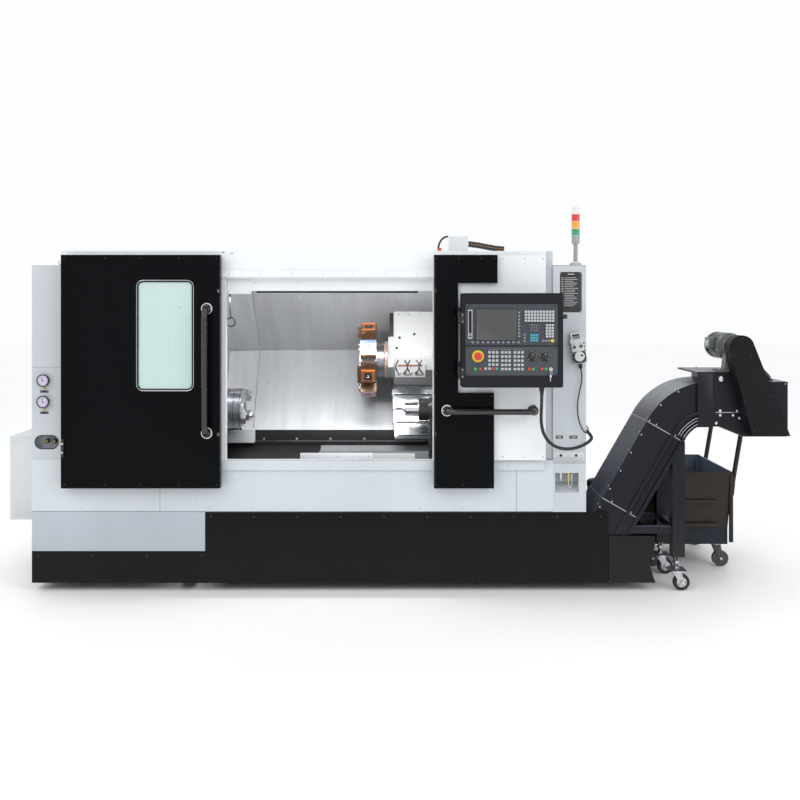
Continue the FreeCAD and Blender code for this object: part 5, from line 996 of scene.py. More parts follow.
        # electrical cabinet's door on the right, with its cooler, switch and hinges
        q.plate("cover_end", RIGHT, (RIGHT_SIDE, 1050, 1120), 1000, 1240, 4, 12)
        for z in (640, 1120, 1600):
            q.turn(
                "zinc_plate", TOP, (1118, 1560, z - 30), [(8, 0), (8, 28), (7, 29), (7, 31), (8, 32), (8, 60)],
                14,
            )
            q.plate("zinc_plate", RIGHT, (RIGHT_SIDE, 1545, z), 30, 46, 3, 3)
        for z in (760, 1480):
            q.turn("gland_black", RIGHT, (RIGHT_SIDE + 4, 590, z), [(17, 0), (17, 4), (15, 6)], 20)
            q.plate("chrome_ring", RIGHT, (1120, 590, z), 5, 22, 2, 1)
        q.plate("cover_pale", RIGHT, (RIGHT_SIDE + 4, 1000, 1260), 420, 620, 22, 12, 3)
        for z in (1130, 1390):
            for k in range(6):
                q.turn(
                    "vent_black", RIGHT, (1136, 1000, z),
                    [(96 - 15 * k, 0), (96 - 15 * k, 1.2), (92 - 15 * k, 1.2)], 36,
                )
                q.turn(
                    "zinc_plate", RIGHT, (1136, 1000, z),
                    [(92 - 15 * k, 0), (92 - 15 * k, 2.4), (89 - 15 * k, 2.4)], 36,
                )
        q.plate("stop_yellow", RIGHT, (RIGHT_SIDE + 4, 640, 1120), 70, 70, 3, 4)
        q.turn("stop_red_gloss", RIGHT, (1117, 640, 1120), [(26, 0), (26, 6), (24, 8)], 28)
        q.plate("stop_red_gloss", turned_face(RIGHT, 90), (1125, 640, 1120), 50, 13, 6, 5, 2)
        q.done("white_cover")
        # roof: junction box, drag chain, loose fittings
        t = Piece("roof_fittings")
        t.plate("cover_white", TOP, (325, 120, ROOF), 112, 96, 88, 5, 2)
        t.plate("cover_pale", FRONT, (325, 72, 1914), 104, 80, 3, 4)
        t.screws("screw_zinc", FRONT, (281, 369), 69, (1880, 1948), 3, 2)
        arc = np.linspace(0, np.pi, 15)
        t.tube(
            "lead_rubber",
            np.stack([262 - 48 * np.cos(arc), 110 + 0 * arc, 1880 + 66 * np.sin(arc) + 6 * arc], 1), 5.5, 10,
            (0, 1, 0),
        )
        t.turn("stop_red_gloss", TOP, (222, 110, ROOF), [(13, -1), (13, 9), (11, 11), (11, 20), (8, 23)], 18)
        t.turn("mark_white", TOP, (206, 110, ROOF), [(11, -1), (11, 8), (9, 12)], 18)
        for k in range(15):
            at = np.array([384 + 13.64 * k, 110, np.interp(k, (0, 4, 7, 11, 14), (1916, 1909, 1901, 1891, 1887))])
            t.plate("gland_black", TOP, at - (0, 0, 17), 15.5, 44, 30, 3, 1)
            t.plate("tag_orange", FRONT, at - (0, 22, 2), 5, 5, 1.2, 2)
        t.screws("screw_zinc", TOP, (-1500, -1000, -500, 0, 500), (300, 900, 1500), 1870, 5, 3)
        for x in (-1250, -250):
            t.plate("cover_white", TOP, (x, 850, ROOF), 820, 900, 3, 12)
        t.done("white_cover")
        return {"FINISHED"}


class LATHE_OT_doors(bpy.types.Operator):
    """Window gasket and lines, handle rings, stops, roller bracket and hem screws of both doors"""
    bl_idname = "lathe.doors"
    bl_label = "Doors"

    def execute(self, context):
        p = Piece("left_door_fittings", "left_door")
        framed(p, "gasket_black", FRONT, (-1273.5, -75.5, 1407.5), 297, 587, 29, 4.5)
        framed(p, "chrome_ring", FRONT, (-1273.5, -77, 1407.5), 309, 599, 35, 1.3)
        glass = node_box("left_door_glass")[0][1]
        p.plate("window_green", FRONT, (-1250, glass, 1407.5), 2.0, 578, 0.6, 0.5, 0.2)
        p.plate("window_green", FRONT, (-1273.5, glass, 1628), 288, 1.8, 0.6, 0.5, 0.2)
        p.turn("gasket_black", FRONT, (-1196, glass, 1560), [(3, 0), (3, 0.8), (2, 1)], 12)
        for z in (878, 1553):
            p.turn("chrome_ring", FRONT, (-1048, DOOR_FACE, z), [(31, -0.5), (31, 2.4), (29.5, 4), (26.5, 4)], 32)
            for dx in (-21, 21):
                p.screw("chrome_ring", FRONT, (-1048 + dx, -81, z), 3, 1.6)
        for z in (1649, 873):
            p.plate("gasket_black", FRONT, (-984, DOOR_FACE, z), 15, 24, 9, 2, 1)
            p.screw("screw_zinc", FRONT, (-984, -84, z), 3, 1.5)
        p.plate("gland_black", FRONT, (-1827, DOOR_FACE, 798), 15, 98, 14, 3, 1)
        p.turn("steel_bright", FRONT, (-1827, -89, 822), [(5.5, 0), (5.5, 3), (4, 4)], 14)
        p.turn("steel_bright", FRONT, (-1827, -89, 774), [(5.5, 0), (5.5, 3), (4, 4)], 14)
        framed(p, "door_lacquer", FRONT, (-1407.5, DOOR_FACE, 1211.5), 853, 1257, 4, 1.6)
        p.screws("gland_black", FRONT, (-1820, -1600, -1407, -1200, -995), DOOR_FACE, (598, 1826), 4, 2)
        for x in (-1719, -1096):
            p.turn("steel_bright", FRONT, (x, -55, 1776), [(14, -12), (14, 12), (9, 14)], 22)
        p.done("black_gloss")
        q = Piece("right_door_fittings", "right_door")
        q.turn("chrome_ring", FRONT, (255, DOOR_FACE, 1000), [(31, -0.5), (31, 2.4), (29.5, 4), (26.5, 4)], 32)
        q.turn("chrome_ring", FRONT, (725, -45, 1000), [(31, -0.5), (31, 2.4), (29.5, 4), (16.5, 4)], 32)
        for dx in (-21, 21):
            q.screw("chrome_ring", FRONT, (255 + dx, -81, 1000), 3, 1.6)
        for x, z in (
            (200, 1826), (320, 1826), (440, 1826), (510, 1826), (200, 598), (340, 598), (495, 598), (200, 1200),
            (300, 1500), (495, 1078),
        ):
            q.screw("gland_black", FRONT, (x, DOOR_FACE, z), 4, 2)
        for x, z in (
            (560, 745), (680, 745), (780, 745), (780, 900), (780, 1090), (560, 1826), (680, 1826), (780, 1826),
        ):
            q.screw("screw_zinc", FRONT, (x, -45, z), 4, 2.4)
        q.plate("gasket_black", FRONT, (192, DOOR_FACE, 1649), 14, 24, 9, 2, 1)
        q.plate("gasket_black", FRONT, (192, DOOR_FACE, 873), 14, 24, 9, 2, 1)
        q.plate("gasket_black", FRONT, (188.5, DOOR_FACE, 1211), 5, 1240, 3, 2, 1)
        q.done("black_gloss")
        return {"FINISHED"}


# ================================================================ fittings of the work space
class LATHE_OT_chamber(bpy.types.Operator):
    """Crease beads, black mat, deflector boxes, bolts and the coolant hose in the work space"""
    bl_idname = "lathe.chamber"
    bl_label = "Work space"

    def execute(self, context):
        p = Piece("chamber_fittings")
        for path in (
            [(-937, 1177, 1267), (786, 1177, 1267)],
            [(-937, 872, 771), (-937, 1177, 1267), (-937, 833, 1655)],
            [(-1115, 749, 771), (-1115, 1052, 1267), (-1115, 710, 1655)],
            [(-1114, 1052, 1267), (-937, 1177, 1267)],
            [(786, 872, 771), (786, 1177, 1267), (786, 833, 1655)],
        ):
            parts = [np.linspace(a, b, 4)[:-1] for a, b in zip(path, path[1:])]
            dense = np.concatenate(parts + [np.array(path[-1:])])
            p.tube("steel_bright", dense, 1.7, 6, (0.1, 0.3, 1) if path[0][0] != path[-1][0] else (1, 0.1, 0.1))
        p.plate("vent_black", FRONT, (-164, 874, 722), 1895, 98, 3, 2)
        p.plate("steel_bright", FRONT, (-164, 870.5, 700), 1895, 3, 1.4, 1, 0.4)
        p.bolts("screw_zinc", FRONT, (-869, -658, -444, -227, 560, 700), 870.8, 713, 5.5, 4)
        run = np.array([0.0, 532.0, 306.0])
        run /= np.linalg.norm(run)
        off = np.cross(X, run)
        p.plate("vent_black", (X, run, off), (-810, 796, 629), 612, 170, 3, 3)
        p.plate("cover_pale", FRONT, (-1008, 862, 737), 172, 86, 34, 5, 2)
        p.screws("screw_zinc", FRONT, (-1078, -938), 828, 765, 4, 2.4)
        p.plate("cover_white", FRONT, (-390, 640, 641), 447, 38, 2, 4, 0.6)
        p.plate("cover_pale", FRONT, (-37, 640, 630), 258, 56, 2, 4, 0.6)
        screw_row(p, "screw_zinc", FRONT, (-590, 638, 641), (100, 0, 0), 5, 3.4, 1.4)
        eye = hoop((-950, 120, 1476), 4.8 * Y + 24 * Z, 24 * X, 24)
        p.tube("lead_rubber", eye, 4.2, 8, (0, 1, 0), closed=True)
        p.tube(
            "lead_rubber", [(-954, 122, 1655), (-956, 122, 1600), (-954, 121, 1540), (-950, 120, 1500)], 4.2, 8,
            (0, 1, 0),
        )
        for x in (-1060, -640, -200, 240, 660):
            at = np.array([x, 867.932, 1620.0])
            p.screw(
                "screw_zinc", (X, np.array([0, -0.663, 0.748]), np.array([0, -0.748, -0.663])),
                at + (0, -1.5, -1.5), 4.5, 2.5,
            )
        for u in (90, 330, 520):
            for x in (-870, -500, 740):
                p.screw("screw_zinc", ON_SLANT, slope_point(x, u, -301), 4.5, 2.5)
        # work lamp behind the header
        p.plate("gland_black", UNDER, (-350, 90, 1655), 900, 46, 16, 6, 2)
        p.plate("mark_white", UNDER, (-350, 90, 1639), 870, 30, 3, 6, 1)
        p.done("liner_grey")
        return {"FINISHED"}


class LATHE_OT_chuck(bpy.types.Operator):
    """Orange nose ring, chuck face bolts, rim grooves and jaw screws"""
    bl_idname = "lathe.chuck"
    bl_label = "Chuck"

    def execute(self, context):
        p = Piece("nose_ring")
        p.turn("orange_paint", RIGHT, on_spindle(-1112), [(162, -4), (162, 38), (158, 42), (112, 42), (112, 0)], 64)
        for k in range(8):
            p.screw("screw_zinc", RIGHT, round_centre(on_spindle(-1070), RIGHT, 136, 22.5 + 45 * k), 6, 3)
        p.done("casting")
        q = Piece("chuck_fittings", "main_spindle")
        for x in (-1042, -1004, -968):
            q.turn(
                "gasket_black", RIGHT, on_spindle(x),
                [(126.8, -1.4), (127.5, -1.2), (127.5, 1.2), (126.8, 1.4)], 64,
            )
        for k in range(3):
            for da in (-32, 32):
                q.screw("screw_zinc", RIGHT, round_centre(on_spindle(-958), RIGHT, 100, 30 + 120 * k + da), 8, 4)
            q.turn(
                "brass_fitting", RIGHT, round_centre(on_spindle(-958), RIGHT, 104, 30 + 120 * k),
                [(4, -1), (4, 2), (2, 3.5)], 12,
            )
        q.turn("jaw_ground", RIGHT, on_spindle(-958), [(60, -1), (60, 3), (58, 5), (42, 5), (41, -6)], 48)
        q.done("chuck_steel")
        for k, name in enumerate(("jaw_1", "jaw_2", "jaw_3")):
            low, high = node_box(f"chuck_jaw_{k + 1}")
            mid = (low + high) / 2
            out = mid[1:] - SPINDLE[1:]
            out = np.array([0.0, *out / np.linalg.norm(out)])
            piece = Piece(f"jaw_screws_{k + 1}", name)
            for reach in (74, 104):
                at = np.array([high[0], *SPINDLE[1:]]) + out * reach
                piece.screw("gasket_black", RIGHT, at, 7.5, 1.2)
            side = np.cross(X, out)
            for step in range(5):
                at = np.array([high[0] - 8, *SPINDLE[1:]]) + out * (62 + 11 * step)
                for away in (side, -side):
                    piece.plate("gasket_black", (np.cross(X, away), X, away), at + away * 19, 2, 12, 0.3, 0.2, 0.1)
            piece.done("jaw_steel")
        return {"FINISHED"}


class LATHE_OT_turret(bpy.types.Operator):
    """Coloured tool blocks, nozzles, housing plate, oil block with its fittings and cover edges"""
    bl_idname = "lathe.turret"
    bl_label = "Turret"

    def execute(self, context):
        p = Piece("turret_fittings", "turret")
        axis = slope_point(0, 345, 0)
        looks = [
            "brown_block", "pink_block", "disc_ground", "blue_block", "disc_ground", "brown_block",
            "copper_fitting", "turret_paint",
        ]
        for i in range(8):
            a = math.radians(180 - 58.4 + 45 * (i + 0.5))
            out = out_slope(a)
            face = (X, np.cross(out, X), out)
            at = axis + out * 226 + X * -194.5
            p.plate(looks[i], face, at, 86, 82, 5, 4, 1.5)
            across = face[1]
            end = (-np.cross(X, out), out, -X)
            for dx in (-33, 33):
                for dv in (-31, 31):
                    p.screw("screw_zinc", face, at + X * dx + across * dv + out * 5, 5, 3)
            p.turn("vent_black", face, at + out * 5, [(15, -1), (15, 0.8), (13, 0.8)], 20)
            p.turn("steel_bright", face, at + out * 5, [(9, -1), (9, 3), (6, 3.4), (4, 1)], 16)
            if i in (0, 3, 6):
                p.plate("gasket_black", face, at + out * 5, 44, 44, 2.5, 2)
                p.plate("orange_paint", face, at + out * 4 + across * 36, 84, 9, 4, 2)
            if i == 7:
                p.plate("blue_block", face, at + out * 4 + across * 37, 88, 18, 5, 2)
            if i % 2:
                p.turn(
                    "steel_bright", end, axis + out * 188 - X * 242,
                    [(19.4, -6), (19.4, 4), (17, 6), (12, 6), (11, 12)], 24,
                )
            else:
                p.plate("steel_bright", end, axis + out * 192.5 - X * 254, 60, 22, 5, 1)
                p.plate("brass_fitting", end, axis + out * 200 + np.cross(X, out) * 30 - X * 256, 13, 13, 5, 1)
            # coolant nozzle on each holder's side towards the chuck
            root = axis + out * 160 + np.cross(out, X) * 40 - X * 246
            p.turn("steel_bright", end, root, [(8, -4), (8, 4), (5.5, 6), (5.5, 10), (3, 12)], 14)
        for k in range(8):
            a = 2 * math.pi * k / 8
            at = axis + X * -248 + out_slope(a) * 118
            p.turn("vent_black", LEFT, at, [(9, -1), (9, 0.6), (7, 0.6)], 14)
            p.screw("screw_zinc", LEFT, axis + X * -248 + out_slope(a + 0.39) * 84, 7, 4)
        p.turn("turret_paint", LEFT, axis + X * -248, [(58, -1), (58, 4), (55, 6), (24, 6), (22, 2)], 40)
        p.done("holder_steel")
        q = Piece("housing_fittings", "cross_slide")
        q.plate("turret_paint", ON_SLANT, slope_point(195, 468, 100), 446, 316, 4, 6, 1.5)
        for u in (322, 614):
            for x in (-10, 60, 130, 200, 270, 340, 400):
                q.screw("screw_zinc", ON_SLANT, slope_point(x, u, 104), 5, 3)
        for x, u in ((-3, 445), (-31, 371), (90, 470)):
            q.turn("vent_black", ON_SLANT, slope_point(max(x, -20), u, 104), [(9, -1), (9, 1), (7, 1)], 18)
        q.plate("steel_bright", (OFF_SLOPE, X, UP_SLOPE), slope_point(195, 637, 72), 60, 440, 4, 2)
        # black block at the housing's left side: partly the way cover's black bellows, partly a painted shadow
        # filling the gap beside the housing
        q.plate("gasket_black", (OFF_SLOPE, UP_SLOPE, -X), slope_point(-40, 545, 76), 40, 176, 26, 4, 2)
        for k in range(6):
            a = math.radians(30 + 60 * k)
            if abs(math.sin(a) * 104) < 90 and k % 3:
                spot = slope_point(-74, 345, 0) + out_slope(a) * 104
                q.bolt("screw_zinc", LEFT, spot, 5.5, 5)
        for x, tone in ((-98, "brown_block"), (-88, "way_plate"), (-80, "copper_fitting")):
            q.turn(tone, RIGHT, slope_point(x, 345, 0), [(115.4, -3), (116.2, -2), (116.2, 2), (115.4, 3)], 56)
        # oil distributor under the housing
        base = np.array([64.0, 735.0, 1165.0])
        q.plate("turret_paint", FRONT, base, 188, 84, 62, 5, 2)
        for k, x in enumerate((-72, -36, 0, 36, 72)):
            at = base + (x, -62, -16)
            q.turn(
                "gland_black" if k % 2 else "steel_bright", FRONT, at,
                [(11, -1), (11, 6), (8, 8), (8, 16), (6, 17)], 16,
            )
            q.nut("screw_zinc", FRONT, at, 12, 2, 9)
            arc, side = np.linspace(0, 1, 12), 1 if k % 2 else -1
            bend = np.stack([18 * side * np.sin(3 * arc), -16 - 26 * np.sin(np.pi * arc), 78 * arc], 1)
            q.tube("lead_rubber", at + bend, 4, 8, (1, 0.1, 0))
        q.plate("brown_block", FRONT, base + (0, -62, 30), 150, 10, 2, 2)
        q.done("turret_white")
        r = Piece("way_cover_edges", "carriage")
        for i in range(4):
            u1, n1 = 270.0 - i * 88, -152.0 - 12 * i
            r.plate("gasket_black", ON_SLANT, slope_point(192 + 3 * i, u1 - 97, n1), 452 - 6 * i, 7, 2.2, 1)
            r.plate("steel_bright", ON_SLANT, slope_point(192 + 3 * i, u1 - 88, n1), 448 - 6 * i, 4, 2.0, 1)
            for x in (0, 130, 260, 390):
                r.screw("screw_zinc", ON_SLANT, slope_point(x, u1 - 76, n1), 3.6, 2)
        r.done("ground_steel")
        return {"FINISHED"}


NUT_PROFILE = [(47, 0), (64, 0), (65.5, 2), (65.5, 50), (64, 52), (47, 52)]


class LATHE_OT_tailstock(bpy.types.Operator):
    """Knurled nut, foot bolts and the quill's centre"""
    bl_idname = "lathe.tailstock"
    bl_label = "Tailstock"

    def execute(self, context):
        p = Piece("tailstock_fittings", "tailstock")
        p.ring("gasket_black", RIGHT, on_spindle(118), NUT_PROFILE, 192, 48, 0.9)
        p.ring("steel_bright", RIGHT, on_spindle(112), [(46, 0), (62, 0), (62, 4), (54, 5), (46, 5)])
        p.bolts("screw_zinc", FRONT, (200, 256, 312, 368, 412), 596, 700, 9, 7)
        p.screws("screw_zinc", FRONT, (210, 300, 390), 558, 860, 7, 4)
        p.plate("brass_fitting", FRONT, (300, 558, 800), 60, 26, 1.5, 3)
        p.turn("tail_paint", RIGHT, on_spindle(440), [(66, -1), (66, 8), (60, 12), (20, 12)], 40)
        p.done("turret_white")
        q = Piece("quill_centre", "quill")
        q.turn(
            "jaw_ground", LEFT, on_spindle(30),
            [(19, -30), (19, 1), (18, 2), (18, 5), (13, 7), (2, 26), (0.4, 28)], 32,
        )
        q.turn("gasket_black", LEFT, on_spindle(34), [(42.2, 0), (42.4, 1), (42.4, 2), (42.2, 3)], 40)
        q.done("ground_steel")
        return {"FINISHED"}


# ================================================================ operator panel and the column
def ring_scale(piece, at, r, count, start=225.0, sweep=270.0, face=FRONT):
    """Short marks round a knob, every fifth one longer."""
    for k in range(count):
        degrees = start - sweep * k / (count - 1)
        piece.plate("mark_white", turned_face(face, degrees), round_centre(at, face, r, degrees),
                    3.2 if k % 5 else 5.5, 1.1, 0.5, 0.2, 0.1)


def knob_cap(name, body, node, outline, profile):
    """Grip of a knob on the front of its CAD node; gives the piece and its place."""
    at = front_middle(node)
    cap = Piece(name, body)
    cap.form("knob_moulded", FRONT, at, outline, profile)
    return cap, at


PANEL_FRONT = -278.0        # face of the operator panel


class LATHE_OT_console(bpy.types.Operator):
    """Control unit with its screen and keys, machine panel, knobs, stop button and key"""
    bl_idname = "lathe.console"
    bl_label = "Operator panel"

    def execute(self, context):
        size = context.scene.lathe_sizes.key * 1000
        p = Piece("panel_fittings", "operator_panel")
        front = PANEL_FRONT

        def keys(finish, x, z, across, down, dx, dz, k=1.0):
            for i in range(across):
                for j in range(down):
                    p.form(
                        finish, FRONT, (x + i * dx, front - 3, z - j * dz), rect(size * k, size * k * 0.92, 1.6),
                        [(0, -0.5), (0, 1.6), (0.5, 2.6), (1.8, 3.2), (3.2, 2.9)],
                    )

        p.plate("console_grey", FRONT, (582, front, 1471), 480, 215, 3, 5, 1.2)
        p.plate("console_lower", FRONT, (582, front, 1281.5), 480, 150, 3, 5, 1.2)
        framed(p, "gasket_black", FRONT, (582, front, 1471), 482, 217, 6, 1.2)
        framed(p, "gasket_black", FRONT, (582, front, 1281.5), 482, 152, 6, 1.2)
        p.plate("gasket_black", FRONT, (582, front, 1360), 480, 3, 2, 0.5, 0.2)
        p.plate("steel_bright", FRONT, (366, front - 3, 1474), 22, 150, 0.9, 3)
        p.plate("console_charcoal", FRONT, (366, front - 3.6, 1474), 16, 140, 0.9, 3)
        p.plate("key_mid", FRONT, (366, front - 4.2, 1420), 14, 18, 1.4, 2)
        p.turn("gasket_black", FRONT, (366, front - 4.2, 1482), [(4, 0), (4, 0.8), (3.2, 1.1)], 16)
        p.plate("gasket_black", FRONT, (502.4, front - 3, 1471), 222, 171, 1.6, 4)
        p.plate("screen_dark", FRONT, (502.4, front - 4.2, 1471), 211.5, 160.5, 1.0, 3, 0.3)
        for x, z in (
            (352, 1570), (812, 1570), (352, 1372), (812, 1372), (352, 1349), (812, 1349), (352, 1214),
            (812, 1214),
        ):
            p.screw("knob_moulded", FRONT, (x, front - 3, z), 4.2, 2.2)
        p.plate("gasket_black", FRONT, (727, front - 3, 1512.8), 166, 68, 0.8, 4)
        p.plate("gasket_black", FRONT, (780.5, front - 3, 1439.5), 54, 80, 0.8, 4)
        keys("key_mid", 620.1, 1533.8, 1, 8, 0, 17.56, 0.82)
        keys("key_mid", 379.5, 1379.7, 10, 1, 26.4, 0, 0.86)
        keys("key_pale", 655.9, 1539.0, 10, 4, 15.8, 15.6, 0.93)
        keys("key_pale", 765.4, 1469.3, 3, 5, 15.3, 14.8, 0.9)
        keys("key_mid", 745.8, 1387.7, 3, 1, 15.2, 0, 0.86)
        keys("key_yellow", 794.5, 1387.7, 1, 1, 0, 0, 1.15)
        keys("key_dim", 685.3, 1469.7, 3, 3, 14.6, 14.2, 0.86)
        keys("key_cyan", 685.3, 1417.8, 3, 3, 14.6, 14.2, 0.86)
        keys("key_mid", 650.0, 1420.0, 1, 3, 0, 17, 0.8)
        keys("key_dim", 728.0, 1465.0, 1, 3, 0, 15, 0.4)
        keys("key_pale", 466.5, 1327.0, 3, 4, 19.6, 21.3, 0.96)
        keys("key_pale", 446.5, 1242.4, 2, 1, 20.0, 0, 0.92)
        keys("key_red", 484.4, 1242.4, 1, 1, 0, 0)
        keys("key_green", 503.6, 1242.4, 1, 1, 0, 0)
        keys("key_pale", 533.1, 1327.0, 3, 5, 18.9, 21.7, 0.96)
        keys("key_pale", 599.0, 1327.0, 3, 5, 19.5, 21.7, 0.96)
        for x, finish in (
            (392.6, "key_green"), (417.8, "key_red"), (674, "key_red"), (693.9, "key_green"),
            (740.6, "key_red"), (760.6, "key_green"),
        ):
            p.plate("gasket_black", FRONT, (x, front - 3, 1240.5), 19, 19, 1.4, 3)
            p.plate(finish, FRONT, (x, front - 4.2, 1240.5), 15.5, 15.5, 4, 2.5, 1.4)
        # legend bars over the keys, left without words
        for x, w in ((486, 52), (552, 52), (618, 52)):
            p.plate("key_mid", FRONT, (x, front - 3, 1342), w, 2.2, 0.4, 0.8, 0.1)
        for x in (689.0, 756.0):
            p.turn("gasket_black", FRONT, (x, front - 3, 1307), [(29, 0), (29, 0.7), (28, 1)], 40)
            ring_scale(p, (x, front - 4, 1307), 24.6, 21)
        p.turn("stop_yellow", FRONT, (406, front - 3, 1307), [(31, 0), (31, 3), (30, 4.5), (27, 5), (21, 5)], 48)
        for a in (30, 150, 270):
            spot = round_centre((406.0, front - 7.8, 1307.0), FRONT, 26, a)
            p.plate("stop_red_gloss", turned_face(FRONT, a + 90), spot, 9, 2, 0.5, 0.8, 0.1)
        # key switch with its key and ring
        p.turn(
            "chrome_ring", FRONT, (785.7, front - 3, 1239),
            [(10.5, 0), (10.5, 3), (9.5, 4.5), (6.5, 4.5), (6, 3)], 28,
        )
        p.plate("steel_bright", RIGHT, (784.6, front - 10, 1239), 14, 5, 2.2, 0.8, 0.3)
        p.plate("steel_bright", turned_face(RIGHT, 8), (784.6, front - 22, 1236), 12, 19, 2.2, 5, 0.3)
        split = hoop((785, front - 23, 1221), 5.4 * X + 7.2 * Y, 9 * Z, 24)
        p.tube("chrome_ring", split, 1.0, 6, (1, 0.3, 0), closed=True)
        p.plate("steel_bright", turned_face(FRONT, -4), (783, front - 16, 1203), 10, 16, 2, 4, 0.3)
        p.plate("steel_bright", turned_face(FRONT, -4), (782, front - 16, 1187), 4, 22, 2, 1, 0.3)
        # frame: round-edged rim, hinge blocks, clamp knob
        framed(p, "console_charcoal", FRONT, (586.5, front, 1389.5), 525, 489, 10, 2.2)
        for z in (1218.0, 1505.0):
            for dz in (-22, 0, 22):
                p.turn("gland_black", TOP, (314, -262, z + dz - 10), [(10, 0), (11, 1), (11, 19), (10, 20)], 18)
            p.plate("gland_black", FRONT, (326, front, z), 18, 58, 2.5, 3)
            p.screw("screw_zinc", FRONT, (326, front - 2.5, z + 18), 3, 2)
            p.screw("screw_zinc", FRONT, (326, front - 2.5, z - 18), 3, 2)
        p.form("knob_moulded", RIGHT, (850, -256, 1513.5), lobed(13, 6, 1.6, 48), [(0, 0), (0, 22), (2, 25)])
        p.done("panel_charcoal")
        q = Piece("stop_cap", "stop_button")
        at = front_middle("estop_button")
        q.turn("stop_red_gloss", FRONT, at, [(20.4, -8), (20.4, -1), (19, 1.5), (15, 3), (8, 3.8), (0.5, 4)], 40)
        q.done("panel_charcoal")
        for name, body, node in (
            ("feed_cap", "feed_switch", "feed_knob"), ("spindle_cap", "spindle_switch", "spindle_knob"),
        ):
            k, at = knob_cap(name, body, node, lobed(19.3, 18, 0.9, 144), [(0, -14), (0, -2), (1.4, 0.6), (3, 1.2)])
            k.plate("knob_moulded", FRONT, at - 1.0 * Y, 7, 34, 3.2, 2.5, 1.2)
            k.plate("mark_white", FRONT, at + (0, -4.1, 12), 1.6, 9, 0.5, 0.4, 0.1)
            k.done("panel_charcoal")
        return {"FINISHED"}


